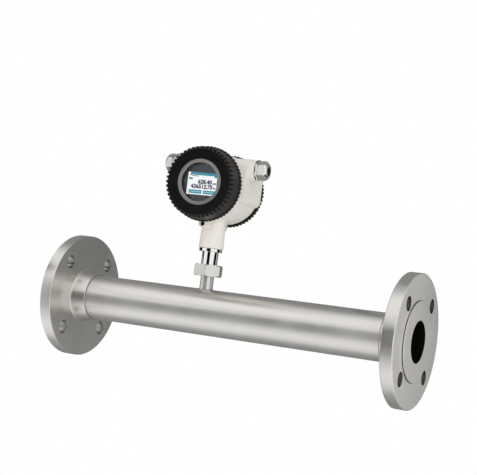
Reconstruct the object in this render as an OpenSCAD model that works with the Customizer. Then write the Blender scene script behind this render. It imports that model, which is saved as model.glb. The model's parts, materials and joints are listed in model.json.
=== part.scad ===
// In-line thermal mass flow meter: a flanged measuring spool with a branch stub, a union nut
// that holds the sensor probe, and a round two-compartment transmitter head on the probe.
// Origin: centre of the raised face of the inlet flange. X: along the flow. Z: up the stem.

/* [Spool] */
// Length over the two raised faces
face_to_face = 500; // [420:5:700]
// Outside diameter of the measuring pipe
pipe_od = 60.3; // [57:0.1:63]
// Wall of the measuring pipe
pipe_wall = 5.15; // [4:0.05:6]
// Outside diameter of the flanges
flange_od = 165; // [155:1:185]
// Thickness of a flange, its raised face included
flange_t = 18; // [15:0.5:24]
// Distance from the edge of the raised sealing face to the bolt circle
raised_face_inset = 13; // [11:0.5:18]
// Height of the raised sealing face
raised_face_h = 2; // [1:0.5:4]
// Distance from the bolt circle to the flange's rim
bolt_rim_w = 20; // [17:0.5:24]
// Diameter of a bolt hole
bolt_hole_d = 18; // [14:0.5:20]
// Number of bolt holes in a flange
bolt_count = 4; // [4:4:8]
// Thickness of the flange hub over the pipe at its root
hub_root_step = 5.85; // [4.5:0.05:8]
// Thickness of the flange hub over the pipe at its free end
hub_end_step = 2.05; // [1.85:0.05:3.5]
// Length of the hub behind the flange
hub_len = 20; // [16:1:30]
// Depth that the pipe goes into the hub
socket_depth = 14; // [8:1:15]
// Radius of the fillet at the root of the hub
hub_fillet = 2; // [1.5:0.5:5]
// Bevel of the free end of the hub
hub_bevel = 0.6; // [0.4:0.1:1]
// Leg of the fillet weld between hub and pipe
weld_leg = 1.4; // [0.8:0.1:1.4]
// Bevel on the edges of the flange rim
rim_bevel = 0.8; // [0.4:0.1:1.5]

/* [Branch and union] */
// Distance of the stem from the inlet face
stem_x = 205; // [150:1:300]
// Outside diameter of the branch stub
stub_od = 17.6; // [16:0.1:18]
// Bore of the branch stub
stub_id = 13; // [12.6:0.1:14]
// Leg of the weld round the foot of the stub
stub_weld_leg = 1.2; // [1:0.1:3]
// Height of the underside of the union nut over the pipe axis
nut_base_z = 47; // [46:0.5:60]
// Height of the union nut
nut_h = 15.4; // [14:0.2:18]
// Width of the union nut across its flats
nut_af = 34; // [32:0.5:36]
// Thickness of the inner floor of the union nut
nut_floor = 2; // [1.5:0.1:2.5]
// Thickness of the slip ring in the union nut
slip_ring_t = 1; // [0.8:0.1:1.4]
// Thickness of the lip on top of the stub
lip_t = 1.8; // [1.4:0.1:2.2]
// Step of the lip beyond the stub, on the radius
lip_step = 0.8; // [0.6:0.1:1]
// Thickness of the sealing washer in the union
gasket_t = 1.2; // [0.8:0.1:1.6]

/* [Probe] */
// Outside diameter of the polished probe tube
tube_od = 21.6; // [20.6:0.1:22]
// Wire bore of the probe tube
tube_bore_d = 14; // [12:0.5:15]
// Outside diameter of the collar under the head
collar_d = 30.6; // [28:0.2:31]
// Height of the collar
collar_h = 4.6; // [2.5:0.1:5]
// Height of the collar's top over the pipe axis
collar_top_z = 83.9; // [78:0.1:100]
// Length of the threaded end above the collar
thread_len = 14; // [10:1:18]
// Outside diameter of the sensor rod
rod_od = 11.5; // [10.6:0.1:11.8]
// Length of the rod held inside the probe tube
rod_grip = 12; // [8:1:14]
// Height of the sensor rod's lower end over the pipe axis
rod_end_z = 16; // [14:0.5:18]
// Reach of the sensor guard below the pipe axis
guard_reach = 9; // [6:0.5:12]
// Wall of the sensor guard
guard_wall = 1; // [0.8:0.1:1.2]
// Width of the two flow windows in the guard
guard_window_w = 7; // [6:0.5:8]
// Height of the solid ring at the guard's lower end
guard_ring_h = 1.8; // [1.2:0.1:2.5]
// Diameter of a sensor tip
tip_d = 3.2; // [2.5:0.1:3.4]
// Distance between the two sensor tips
tip_pitch = 4.8; // [4.2:0.1:5]
// Reach of the heated tip below the pipe axis
heated_tip_reach = 6; // [3:0.5:7]
// Reach of the reference tip below the pipe axis
reference_tip_reach = 3; // [1:0.5:6]

/* [Housing] */
// Height of the head's own axis over the pipe axis
head_z = 164; // [160:0.5:200]
// Turn of the head about the stem, away from square
head_yaw = 7; // [-90:0.5:90]
// Step from a spigot up to the barrel, on the radius
barrel_step = 5.1; // [4.6:0.1:6]
// Distance from the stem to the barrel's front shoulder
barrel_front = 41; // [39:0.5:48]
// Distance from the stem to the barrel's rear shoulder
barrel_rear = 36; // [31:0.1:46]
// Wall of the spigots round the two compartments
spigot_wall = 3; // [2.5:0.1:4]
// Diameter of the threaded spigots that carry the covers
spigot_d = 81; // [80:0.5:84]
// Length of the front spigot
front_spigot_len = 15; // [13:0.5:15]
// Length of the rear spigot
rear_spigot_len = 10.5; // [10:0.5:13.5]
// Distance from the stem to the partition's front face
partition_front = 27; // [26.5:0.1:28]
// Thickness of the partition
partition_t = 3.5; // [3:0.1:4]
// Distance from the end of a conduit arm back to the side pad
pad_inset = 7.4; // [4:0.1:8]
// Drop of the side pads below the head's axis
pad_drop = 20; // [14:0.5:26]
// Distance from the stem to the front end of the side pads
pad_front = 34; // [26:0.5:38]
// Distance from the stem to the rear end of the side pads
pad_rear = 35; // [20:0.5:36]
// Corner radius of the side pads
pad_corner = 9; // [3:0.5:10]
// Outside diameter of the conduit arms
arm_d = 27; // [25.5:0.5:30]
// Bore of the conduit arms
arm_bore_d = 19.8; // [19:0.1:20.4]
// Half width over the two conduit arms
arm_reach = 55.3; // [54:0.1:62]
// Drop of the conduit arms' axis below the top of the barrel
arm_drop = 19.3; // [18:0.1:22]
// Distance of the conduit arms in front of the stem
arm_forward = 12; // [10.5:0.5:13]
// Diameter of the neck at its foot
neck_foot_d = 32.8; // [30:0.2:36]
// Diameter of the neck under the barrel
neck_top_d = 30.6; // [28:0.2:32]
// Radius of the fillet between neck and barrel
neck_flare = 6; // [3:0.5:8]
// Diameter of the wire way through the neck
wire_way_d = 16.5; // [14:0.5:17]

/* [Cover locks] */
// Diameter of a lock screw boss
lock_boss_d = 10.4; // [9.6:0.1:12]
// Distance from the barrel's outside down to the axis of a lock screw
lock_offset = 4.8; // [4:0.1:5.4]
// Length of a lock screw boss
lock_boss_len = 18; // [15:0.5:20]
// Diameter of a lock screw
lock_screw_d = 6; // [5:0.1:6.4]
// Length of a lock screw
lock_screw_len = 8; // [6:0.5:9]
// Depth of a lock screw below the face of its boss
lock_recess = 3; // [2:0.5:4]
// Width across the flats of the lock screw's socket
lock_socket_af = 3; // [2.5:0.1:3.2]

/* [Covers] */
// Wall of a cover round the thread, the wide toothed ring included
cover_wall = 8; // [6.5:0.1:9]
// Step from the wide toothed ring down to the ring at a cover's nose, on the radius
nose_inset = 3; // [2:0.1:4]
// Length of the front cover
front_cover_len = 29.7; // [28.4:0.1:32]
// Length of the rear cover
rear_cover_len = 14.4; // [14:0.1:24]
// Length of the wide toothed ring
ring_len = 6; // [5:0.5:7]
// Length of the toothed ring at the nose, its bevel included
nose_len = 7; // [5.5:0.5:7.5]
// Bevel round the face of a cover, across the nose teeth
nose_bevel = 2.6; // [1.6:0.1:3]
// Length of the plain lip at a cover's open end
lip_len = 1.6; // [1:0.1:2]
// Number of teeth on the wide ring
ring_teeth = 60; // [40:1:72]
// Number of teeth on the nose ring
nose_teeth = 48; // [36:1:60]
// Diameter of the round groove between two teeth
groove_d = 3; // [2.4:0.1:3.6]
// Depth of the groove between two teeth of the wide ring
groove_depth = 1.3; // [0.8:0.1:1.5]
// Lean of the nose grooves towards the head's axis
nose_groove_lean = 25; // [15:1:30]
// Fall of the front cover's face towards its window
face_fall = 2; // [1:0.1:2.4]

/* [Window] */
// Outside diameter of the window bezel
bezel_od = 58.4; // [58:0.2:62]
// Clear opening of the window bezel
bezel_id = 49.6; // [48:0.2:53]
// Thickness of the window bezel
bezel_t = 2.5; // [2:0.1:2.8]
// Diameter of the window glass
glass_d = 57.6; // [57:0.2:59]
// Thickness of the window glass
glass_t = 4.7; // [4:0.1:5.5]
// Clear opening of the ledge that carries the glass
ledge_d = 54; // [54:0.2:55.6]
// Thickness of the ledge that carries the glass
ledge_t = 2.5; // [2:0.1:3]
// Thickness of the seal under the glass
glass_seal_t = 0.8; // [0.5:0.1:1.2]

/* [Display] */
// Room round the dark display mask
mask_room = 4.5; // [3:0.5:7]
// Thickness of the display mask
mask_t = 1.5; // [1:0.1:2]
// Distance from the mask's rim in to the side of the lit picture
picture_side_inset = 12.9; // [12:0.1:15]
// Distance from the mask's rim in to the upper and lower edge of the lit picture
picture_end_inset = 18.85; // [17.5:0.05:20]
// Height of the picture's middle over the head's axis
picture_rise = -1.5; // [-4:0.1:2]
// Rim of the display panel round the lit picture
panel_rim = 2.5; // [1.5:0.1:3]
// Thickness of the display panel
panel_t = 3; // [2:0.1:3.5]
// Gap between the cover's ledge and the display mask
mask_gap = 0.8; // [0.4:0.1:1]

/* [Electronics] */
// Room round the circuit boards
board_room = 3.5; // [2:0.5:4.5]
// Thickness of a circuit board
board_t = 1.6; // [1.2:0.1:2]
// Distance from the rim of a circuit board to the axes of the standoffs
standoff_inset = 5; // [4:0.5:6]
// Width of a hexagonal standoff across its flats
standoff_af = 5; // [4:0.1:6]
// Height of the lowest standoffs, from the partition
low_standoff = 5; // [4:0.1:5.5]
// Height of the standoffs between power board and main board
mid_standoff = 7; // [6:0.1:7.2]
// Diameter of a board screw's head
board_screw_d = 5.2; // [4.5:0.1:6]
// Height of a board screw's head
board_screw_h = 1.8; // [1.2:0.1:2.2]
// Room round the terminal carrier
carrier_room = 1; // [0.5:0.1:2]
// Thickness of the terminal carrier
carrier_t = 2.5; // [2:0.1:3]
// Number of terminals
terminal_count = 8; // [6:1:9]
// Distance from terminal to terminal
terminal_pitch = 6; // [5:0.1:6.4]
// Height of the terminal block
terminal_h = 15; // [12:0.5:16]
// Depth of the terminal block
terminal_depth = 14; // [10:0.5:16]
// Diameter of a terminal screw
terminal_screw_d = 3.8; // [3:0.1:4.2]
// Diameter of the sensor lead
lead_d = 4.4; // [3.5:0.1:5]
// Bend radius of the sensor lead
lead_bend = 9; // [8:0.5:11]
// Drop of the lead's way through the partition below the head's axis
lead_drop = 17; // [15:0.5:20]
// Diameter of the earth screw's head
earth_screw_d = 8; // [7:0.1:9]

/* [Glands] */
// Width of the gland's hexagon across its flats
gland_hex_af = 24; // [23.5:0.1:27]
// Length of the gland's hexagon
gland_hex_len = 3.6; // [2.5:0.1:5]
// Length of the gland's thread in the arm
gland_nipple_len = 11; // [8:0.5:12]
// Length of the open groove behind the cap
gland_groove_len = 1.6; // [1:0.1:3]
// Diameter of the gland's thread under the cap
gland_thread_d = 19; // [18.5:0.1:19.4]
// Width of the cap's hexagon across its flats
cap_af = 22.4; // [22:0.1:24]
// Length of the cap
cap_len = 10.4; // [10:0.1:14]
// Thickness of the cap's end wall
cap_wall = 2.2; // [1.8:0.1:2.6]
// Opening of the cap for the cable
cap_hole_d = 12; // [10:0.1:13]
// Radius of the cap's domed end
cap_dome_r = 15; // [14.8:0.1:17]
// Diameter of the flat face on the cap's domed end
cap_face_d = 18; // [17:0.1:19]
// Bore of the gland body
gland_bore_d = 14; // [13:0.1:14.4]
// Cable hole through the rubber seal
cable_d = 9; // [7:0.1:10]
// Length of the seal inside the gland body
seal_len = 8; // [6:0.5:9]
// Thickness of the seal's outer rim
seal_rim_t = 1.1; // [0.8:0.1:1.3]
// Thickness of the slip washer under the cap
slip_washer_t = 0.8; // [0.5:0.1:1]

/* [Fits] */
// Radial clearance of parts that turn or slide in each other
run_gap = 0.1; // [0.05:0.01:0.1]
// Gap along the axis where two parts seat on each other
seat_gap = 0.1; // [0.05:0.01:0.2]
// Radial clearance of parts that stay loose in their recess
loose_gap = 0.25; // [0.2:0.01:0.3]
// Section of an O-ring
oring_d = 1.9; // [1.6:0.1:2.1]

/* [Hidden] */
$fn = 96;
overrun = 1;
small_fn = 32;
hex_fn = 6;

// Spool
socket_x = flange_t + hub_len - socket_depth;
socket_r = pipe_od / 2 + seat_gap / 2;
hub_end_x = flange_t + hub_len;
bolt_turn = 180 / bolt_count;
bore_d = pipe_od - 2 * pipe_wall;
hub_d = pipe_od + 2 * hub_root_step;
hub_end_d = pipe_od + 2 * hub_end_step;
bolt_circle_d = flange_od - 2 * bolt_rim_w;
raised_face_d = bolt_circle_d - 2 * raised_face_inset;

// Union: heights follow each other from the nut's floor up
nut_turn = -12.4;
nut_top_z = nut_base_z + nut_h;
slip_ring_z = nut_base_z + nut_floor + seat_gap;
lip_z = slip_ring_z + slip_ring_t + seat_gap;
gasket_z = lip_z + lip_t;
tube_end_z = gasket_z + gasket_t;
lip_r = stub_od / 2 + lip_step;
nut_bore_r = tube_od / 2 + run_gap;
nut_chamfer_share = 0.14;
nut_mouth_bevel = 0.8;

// Probe
thread_top_z = collar_top_z + thread_len;
rod_top_z = tube_end_z + rod_grip;
guard_seat_len = 3.5;
tip_socket_len = 9;
rod_wire_bore_share = 0.5;
connector_len = 6;
tube_bevel = 0.5;
boot_r = 4.7;
boot_depth = 2;

// Housing
barrel_d = spigot_d + 2 * barrel_step;
cavity_d = spigot_d - 2 * spigot_wall;
arm_rise = barrel_d / 2 - arm_drop;
pad_half_w = arm_reach - pad_inset;
lock_drop = barrel_d / 2 + lock_offset;
neck_foot = head_z - collar_top_z - seat_gap;
neck_bore_d = tube_od + 2 * run_gap;
front_spigot_end = barrel_front + front_spigot_len;
rear_spigot_end = barrel_rear + rear_spigot_len;
cover_seat_gap = 3 * seat_gap;
shoulder_bevel = 1.2;
spigot_bevel = 0.6;
flare_sink = 0.6;
arm_bore_share = 0.4;
oring_seat = spigot_d / 2 - oring_d;
oring_groove_len = oring_d + 2 * loose_gap;
oring_groove_at = 2.5;
lead_way_d = lead_d + 4 * loose_gap;

// Covers
ring_d = spigot_d + 2 * cover_wall;
nose_d = ring_d - 2 * nose_inset;
front_cover_open = barrel_front + cover_seat_gap;
rear_cover_open = barrel_rear + cover_seat_gap;
front_nose = front_cover_open + front_cover_len;
thread_r = spigot_d / 2 + run_gap;
band_step = 1.5;
nose_groove_start = 0.4;
nose_groove_runout = 3.2;
rear_inside_gap = 1.2;
rear_wall = 3.2;
rear_dish_share = 0.75;
rear_dish_depth = 1.2;

// Window: depths follow each other from the bezel's face inwards
bezel_sink_share = 0.15;
bezel_bevel = 0.6;
bezel_face = front_nose - face_fall - bezel_sink_share * bezel_t;
glass_face = bezel_face - bezel_t;
glass_back = glass_face - glass_t;
ledge_face = glass_back - glass_seal_t;
ledge_back = ledge_face - ledge_t;

// Display stack
mask_d = cavity_d - 2 * mask_room;
board_d = cavity_d - 2 * board_room;
standoff_r = board_d / 2 - standoff_inset;
picture_w = mask_d - 2 * picture_side_inset;
picture_h = mask_d - 2 * picture_end_inset;
mask_face = ledge_back - mask_gap;
mask_back = mask_face - mask_t;
picture_sink_share = 0.2;
panel_back = mask_back - panel_t;
display_board_back = panel_back - board_t;
power_board_back = partition_front + low_standoff;
power_board_face = power_board_back + board_t;
main_board_back = power_board_face + mid_standoff;
main_board_face = main_board_back + board_t;

standoff_count = 4;
main_board_shares = [[0, 0, 0.4, 0.4, 0.25], [0.45, 0.4, 0.25, 0.2, 0.3],
    [-0.45, 0.4, 0.2, 0.3, 0.3], [-0.4, -0.45, 0.35, 0.18, 0.7], [0.4, -0.45, 0.3, 0.2, 0.3]];
power_board_shares = [[0, -0.3, 0.5, 0.4, 0.8], [0, 0.55, 0.35, 0.2, 0.5]];
capacitor_share = 0.5;
capacitor_h_share = 0.9;
capacitor_r_share = 0.07;

// Rear compartment
terminal_rise_share = 0.4;
terminal_well_share = 0.3;
earth_share = 0.6;
earth_washer_share = 0.12;
earth_head_share = 0.45;
earth_hex_share = 0.75;
carrier_d = cavity_d - 2 * carrier_room;
carrier_front = partition_front - partition_t;
carrier_face = carrier_front - carrier_t;
terminal_face = carrier_face - terminal_depth;
terminal_w = terminal_count * terminal_pitch + terminal_pitch / 2;

// Glands, along the arm from the stem
gland_hex_end = arm_reach + gland_hex_len;
cap_start = gland_hex_end + gland_groove_len;
cap_end = cap_start + cap_len;
cap_floor = cap_end - cap_wall;
washer_start = cap_floor - seat_gap - slip_washer_t;
seal_rim_start = washer_start - seat_gap - seal_rim_t;
gland_end = seal_rim_start;
gland_bevel = 0.6;

// Turns a shape drawn along Z so that it lies along the flow
module along_flow() {
    rotate([0, 90, 0]) children();
}

// Puts a shape on the stem's axis, in the frame of the spool
module on_stem() {
    translate([stem_x, 0, 0]) children();
}

// Puts a shape in the head's own frame: X to its right, Y to its rear, Z up
module in_head() {
    translate([stem_x, 0, head_z]) rotate([0, 0, head_yaw]) children();
}

// Turns a shape drawn along Z so that it points out of the head's front, upright
module to_front() {
    in_head() rotate([90, 0, 0]) children();
}

// Turns a shape drawn along Z so that it points out of the head's rear
module to_rear() {
    in_head() rotate([-90, 0, 0]) children();
}

// Turns a shape drawn along Z so that it points out of one conduit arm
module to_side(side) {
    in_head() translate([0, -arm_forward, arm_rise]) rotate([0, 90 * side, 0]) children();
}

// Solid ring or tube between two heights
module ring(r_out, r_in, low, high, fn = $fn) {
    translate([0, 0, low]) difference() {
        cylinder(h = high - low, r = r_out, $fn = fn);
        translate([0, 0, -overrun]) cylinder(h = high - low + 2 * overrun, r = r_in, $fn = fn);
    }
}

// Hexagonal bar between two heights with its corners bevelled at both ends
module bevelled_hex(flats, low, high, bevel) {
    corner_r = flats / 2 / cos(180 / hex_fn);
    face_r = flats / 2;
    intersection() {
        translate([0, 0, low]) cylinder(h = high - low, r = corner_r, $fn = hex_fn);
        rotate_extrude() polygon([[0, low], [face_r, low], [corner_r, low + bevel],
            [corner_r, high - bevel], [face_r, high], [0, high]]);
    }
}

// Half section of a flange: radius, then distance from the sealing face
module flange_section() {
    rim_r = flange_od / 2;
    hub_r = hub_d / 2;
    hub_end_r = hub_end_d / 2;
    union() {
        polygon([[bore_d / 2, 0], [raised_face_d / 2, 0], [raised_face_d / 2, raised_face_h],
            [rim_r - rim_bevel, raised_face_h], [rim_r, raised_face_h + rim_bevel],
            [rim_r, flange_t - rim_bevel], [rim_r - rim_bevel, flange_t], [hub_r, flange_t],
            [hub_r, flange_t + hub_fillet], [hub_end_r, hub_end_x - hub_bevel],
            [hub_end_r - hub_bevel, hub_end_x], [socket_r, hub_end_x], [socket_r, socket_x],
            [bore_d / 2, socket_x]]);
        difference() {
            translate([hub_r, flange_t]) square(hub_fillet);
            translate([hub_r + hub_fillet, flange_t + hub_fillet]) circle(hub_fillet);
        }
    }
}

module flange() {
    color([0.72, 0.71, 0.69]) along_flow() difference() {
        rotate_extrude() flange_section();
        for (i = [0 : bolt_count - 1])
            rotate([0, 0, bolt_turn + i * 360 / bolt_count])
                translate([bolt_circle_d / 2, 0, -overrun])
                    cylinder(h = flange_t + 2 * overrun, d = bolt_hole_d);
    }
}

module inlet_flange() {
    flange();
}

module outlet_flange() {
    translate([face_to_face, 0, 0]) mirror([1, 0, 0]) flange();
}

// Convex weld bead in the corner between the hub's end and the pipe
module pipe_weld() {
    color([0.62, 0.61, 0.59]) along_flow() rotate_extrude() intersection() {
        translate([pipe_od / 2, hub_end_x]) square(weld_leg);
        translate([pipe_od / 2, hub_end_x]) circle(weld_leg, $fn = small_fn);
    }
}

module inlet_weld() {
    pipe_weld();
}

module outlet_weld() {
    translate([face_to_face, 0, 0]) mirror([1, 0, 0]) pipe_weld();
}

module measuring_pipe() {
    color([0.76, 0.75, 0.73]) difference() {
        along_flow() ring(pipe_od / 2, bore_d / 2, socket_x, face_to_face - socket_x);
        on_stem() cylinder(h = pipe_od, d = stub_id);
    }
}

// Solid bar of the pipe's outside, for saddle cuts
module pipe_bar() {
    along_flow() cylinder(h = face_to_face, d = pipe_od);
}

module branch_stub() {
    stub_r = stub_od / 2;
    color([0.78, 0.77, 0.75]) difference() {
        on_stem() rotate_extrude() polygon([[stub_id / 2, bore_d / 2], [stub_r, bore_d / 2],
            [stub_r, lip_z], [lip_r, lip_z], [lip_r, gasket_z], [stub_id / 2, gasket_z]]);
        pipe_bar();
    }
}

module stub_weld() {
    stub_r = stub_od / 2;
    color([0.62, 0.61, 0.59]) difference() {
        on_stem() rotate_extrude() polygon([[stub_r, bore_d / 2],
            [stub_r + 2 * stub_weld_leg, pipe_od / 2 - stub_weld_leg],
            [stub_r, pipe_od / 2 + stub_weld_leg]]);
        pipe_bar();
    }
}

module union_gasket() {
    color([0.93, 0.93, 0.9]) on_stem() ring(lip_r, rod_od / 2 + loose_gap, gasket_z, tube_end_z);
}

module union_slip_ring() {
    color([0.8, 0.7, 0.4]) on_stem()
        ring(nut_bore_r - run_gap, stub_od / 2 + run_gap, slip_ring_z, slip_ring_z + slip_ring_t);
}

module union_nut() {
    mouth_z = nut_top_z - nut_mouth_bevel;
    color([0.7, 0.7, 0.68]) on_stem() rotate([0, 0, nut_turn]) difference() {
        bevelled_hex(nut_af, nut_base_z, nut_top_z, nut_chamfer_share * nut_h);
        rotate_extrude() polygon([[0, nut_base_z - overrun],
            [stub_od / 2 + loose_gap, nut_base_z - overrun],
            [stub_od / 2 + loose_gap, nut_base_z + nut_floor],
            [nut_bore_r, nut_base_z + nut_floor], [nut_bore_r, mouth_z],
            [nut_bore_r + nut_mouth_bevel + overrun, nut_top_z + overrun],
            [0, nut_top_z + overrun]]);
    }
}

module probe_tube() {
    tube_r = tube_od / 2;
    collar_r = collar_d / 2;
    collar_low = collar_top_z - collar_h;
    seat_r = rod_od / 2 + seat_gap / 2;
    color([0.85, 0.85, 0.85]) on_stem() rotate_extrude() polygon([[seat_r, tube_end_z],
        [tube_r, tube_end_z], [tube_r, collar_low], [collar_r - tube_bevel, collar_low],
        [collar_r, collar_low + tube_bevel], [collar_r, collar_top_z - tube_bevel],
        [collar_r - tube_bevel, collar_top_z], [tube_r, collar_top_z],
        [tube_r, thread_top_z - tube_bevel], [tube_r - tube_bevel, thread_top_z],
        [tube_bore_d / 2, thread_top_z], [tube_bore_d / 2, rod_top_z], [seat_r, rod_top_z]]);
}

// Places two shapes side by side across the flow
module at_tip(side) {
    on_stem() translate([0, side * tip_pitch / 2, 0]) children();
}

module sensor_rod() {
    rod_r = rod_od / 2;
    seat_r = rod_r - guard_wall - seat_gap / 2;
    seat_z = rod_end_z - guard_seat_len;
    color([0.75, 0.75, 0.75]) difference() {
        on_stem() rotate_extrude() polygon([[0, seat_z], [seat_r, seat_z], [seat_r, rod_end_z],
            [rod_r, rod_end_z], [rod_r, rod_top_z], [0, rod_top_z]]);
        on_stem() translate([0, 0, rod_end_z + tip_socket_len])
            cylinder(h = rod_top_z, d = rod_wire_bore_share * rod_od);
        for (side = [-1, 1]) at_tip(side) translate([0, 0, seat_z - overrun])
            cylinder(h = guard_seat_len + tip_socket_len + overrun, d = tip_d + seat_gap,
                $fn = small_fn);
    }
}

module sensor_guard() {
    window_low = guard_ring_h - guard_reach;
    window_high = rod_end_z - guard_seat_len;
    color([0.72, 0.72, 0.72]) difference() {
        on_stem() ring(rod_od / 2, rod_od / 2 - guard_wall, -guard_reach, rod_end_z);
        on_stem() translate([-rod_od, -guard_window_w / 2, window_low])
            cube([2 * rod_od, guard_window_w, window_high - window_low]);
    }
}

// Round-ended sensor tip that reaches below the pipe axis
module sensor_tip(side, reach) {
    tip_r = tip_d / 2;
    at_tip(side) union() {
        translate([0, 0, tip_r - reach])
            cylinder(h = rod_end_z + tip_socket_len - seat_gap + reach - tip_r, r = tip_r,
                $fn = small_fn);
        translate([0, 0, tip_r - reach]) sphere(tip_r, $fn = small_fn);
    }
}

module heated_tip() {
    color([0.66, 0.66, 0.68]) sensor_tip(1, heated_tip_reach);
}

module reference_tip() {
    color([0.66, 0.66, 0.68]) sensor_tip(-1, reference_tip_reach);
}

module probe_connector() {
    plug_r = tube_bore_d / 2 - seat_gap;
    color([0.12, 0.12, 0.12]) on_stem() rotate_extrude() polygon([
        [0, thread_top_z - connector_len], [plug_r, thread_top_z - connector_len],
        [plug_r, thread_top_z], [boot_r + loose_gap, thread_top_z],
        [boot_r + loose_gap, thread_top_z - boot_depth], [0, thread_top_z - boot_depth]]);
}

// Half section of the barrel with its two spigots: radius, then distance to the front
module barrel_section() {
    barrel_r = barrel_d / 2;
    spigot_r = spigot_d / 2;
    front_groove = barrel_front + oring_groove_at;
    rear_groove = -barrel_rear - oring_groove_at;
    polygon([[0, -rear_spigot_end], [spigot_r - spigot_bevel, -rear_spigot_end],
        [spigot_r, spigot_bevel - rear_spigot_end], [spigot_r, rear_groove - oring_groove_len],
        [oring_seat, rear_groove - oring_groove_len], [oring_seat, rear_groove],
        [spigot_r, rear_groove], [spigot_r, -barrel_rear],
        [barrel_r - shoulder_bevel, -barrel_rear], [barrel_r, shoulder_bevel - barrel_rear],
        [barrel_r, barrel_front - shoulder_bevel], [barrel_r - shoulder_bevel, barrel_front],
        [spigot_r, barrel_front], [spigot_r, front_groove], [oring_seat, front_groove],
        [oring_seat, front_groove + oring_groove_len],
        [spigot_r, front_groove + oring_groove_len],
        [spigot_r, front_spigot_end - spigot_bevel],
        [spigot_r - spigot_bevel, front_spigot_end], [0, front_spigot_end]]);
}

// Flat cheeks on both sides of the barrel, below the conduit arms
module side_pads() {
    corner_x = pad_half_w - pad_corner;
    translate([0, 0, -pad_rear]) linear_extrude(pad_front + pad_rear) union() {
        translate([-pad_half_w, pad_corner - pad_drop])
            square([2 * pad_half_w, arm_rise + pad_drop - pad_corner]);
        translate([-corner_x, -pad_drop]) square([2 * corner_x, pad_corner + overrun]);
        for (side = [-1, 1]) translate([side * corner_x, pad_corner - pad_drop])
            circle(pad_corner);
    }
}

// Half section of the neck: radius, then height over the head's axis
module neck_section() {
    top_r = neck_top_d / 2;
    root_r = top_r + neck_flare;
    root_z = flare_sink - sqrt(barrel_d * barrel_d / 4 - root_r * root_r);
    union() {
        polygon([[0, -neck_foot], [neck_foot_d / 2 - tube_bevel, -neck_foot],
            [neck_foot_d / 2, tube_bevel - neck_foot], [top_r, root_z - neck_flare],
            [top_r, root_z], [0, root_z]]);
        difference() {
            translate([0, root_z - neck_flare]) square([root_r, neck_flare]);
            translate([root_r, root_z - neck_flare]) circle(neck_flare);
        }
    }
}

// Boss for a lock screw under one end of the barrel, drawn with the barrel above it
module lock_boss(face) {
    translate([0, 0, face - lock_boss_len]) linear_extrude(lock_boss_len) union() {
        translate([0, -lock_drop]) circle(lock_boss_d / 2);
        translate([-lock_boss_d / 2, -lock_drop]) square([lock_boss_d, lock_drop / 2]);
    }
}

module lock_hole(face) {
    depth = lock_recess + lock_screw_len + seat_gap;
    translate([0, -lock_drop, face - depth])
        cylinder(h = depth + overrun, r = lock_screw_d / 2 + run_gap);
}

module housing() {
    color([0.87, 0.85, 0.83]) difference() {
        union() {
            to_front() rotate_extrude() barrel_section();
            to_front() side_pads();
            in_head() rotate_extrude() neck_section();
            for (side = [-1, 1]) to_side(side) rotate_extrude() polygon([[0, 0],
                [arm_d / 2, 0], [arm_d / 2, arm_reach - shoulder_bevel],
                [arm_d / 2 - shoulder_bevel, arm_reach], [0, arm_reach]]);
            to_front() lock_boss(barrel_front);
            to_rear() rotate([0, 0, 180]) lock_boss(barrel_rear);
        }
        to_front() translate([0, 0, partition_front])
            cylinder(h = front_spigot_end, d = cavity_d);
        to_rear() translate([0, 0, partition_t - partition_front])
            cylinder(h = rear_spigot_end + partition_front, d = cavity_d);
        in_head() translate([0, 0, -neck_foot - overrun])
            cylinder(h = thread_len + 2 * overrun, d = neck_bore_d);
        in_head() translate([0, 0, -neck_foot]) cylinder(h = neck_foot - barrel_d / 4,
            d = wire_way_d);
        for (side = [-1, 1]) to_side(side) translate([0, 0, arm_bore_share * arm_reach])
            cylinder(h = arm_reach, d = arm_bore_d);
        to_front() lock_hole(barrel_front);
        to_rear() rotate([0, 0, 180]) lock_hole(barrel_rear);
        to_front() translate([0, -lead_drop, 0]) cylinder(h = front_spigot_end, d = lead_way_d);
    }
}

// Headless lock screw with a hexagonal socket in its outer end
module lock_screw(face) {
    top = face - lock_recess;
    color([0.25, 0.25, 0.26]) translate([0, -lock_drop, top - lock_screw_len]) difference() {
        cylinder(h = lock_screw_len, d = lock_screw_d);
        translate([0, 0, lock_screw_len / 2])
            cylinder(h = lock_screw_len, r = lock_socket_af / 2 / cos(180 / hex_fn), $fn = hex_fn);
    }
}

module front_lock_screw() {
    to_front() lock_screw(barrel_front);
}

module rear_lock_screw() {
    to_rear() rotate([0, 0, 180]) lock_screw(barrel_rear);
}

// Round grooves that leave a ring of teeth between them
module tooth_grooves(r, low, high, count) {
    for (i = [0 : count - 1]) rotate([0, 0, i * 360 / count])
        translate([r + groove_d / 2 - groove_depth, 0, low])
            cylinder(h = high - low, d = groove_d, $fn = small_fn);
}

// Leaning grooves that run out of the plain band and cut the nose and its bevel into teeth
module nose_grooves(r, start, count) {
    for (i = [0 : count - 1]) rotate([0, 0, i * 360 / count])
        translate([r + groove_d / 2 - nose_groove_start, 0, start])
            rotate([0, -nose_groove_lean, 0]) translate([0, 0, -nose_groove_runout])
                cylinder(h = 2 * nose_len + nose_groove_runout, d = groove_d, $fn = small_fn);
}

// Screw cover with its wide toothed ring: heights count from its open end
module cover_shell(inside, nose_points) {
    ring_r = ring_d / 2;
    ring_end = lip_len + ring_len;
    difference() {
        rotate_extrude() polygon(concat([[0, 0], [ring_r - band_step, 0],
            [ring_r - band_step, lip_len], [ring_r, lip_len], [ring_r, ring_end],
            [ring_r - band_step, ring_end]], nose_points));
        translate([0, 0, -overrun]) cylinder(h = inside + overrun, r = thread_r);
        tooth_grooves(ring_r, lip_len - overrun / 2, ring_end + overrun / 2, ring_teeth);
    }
}

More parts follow.
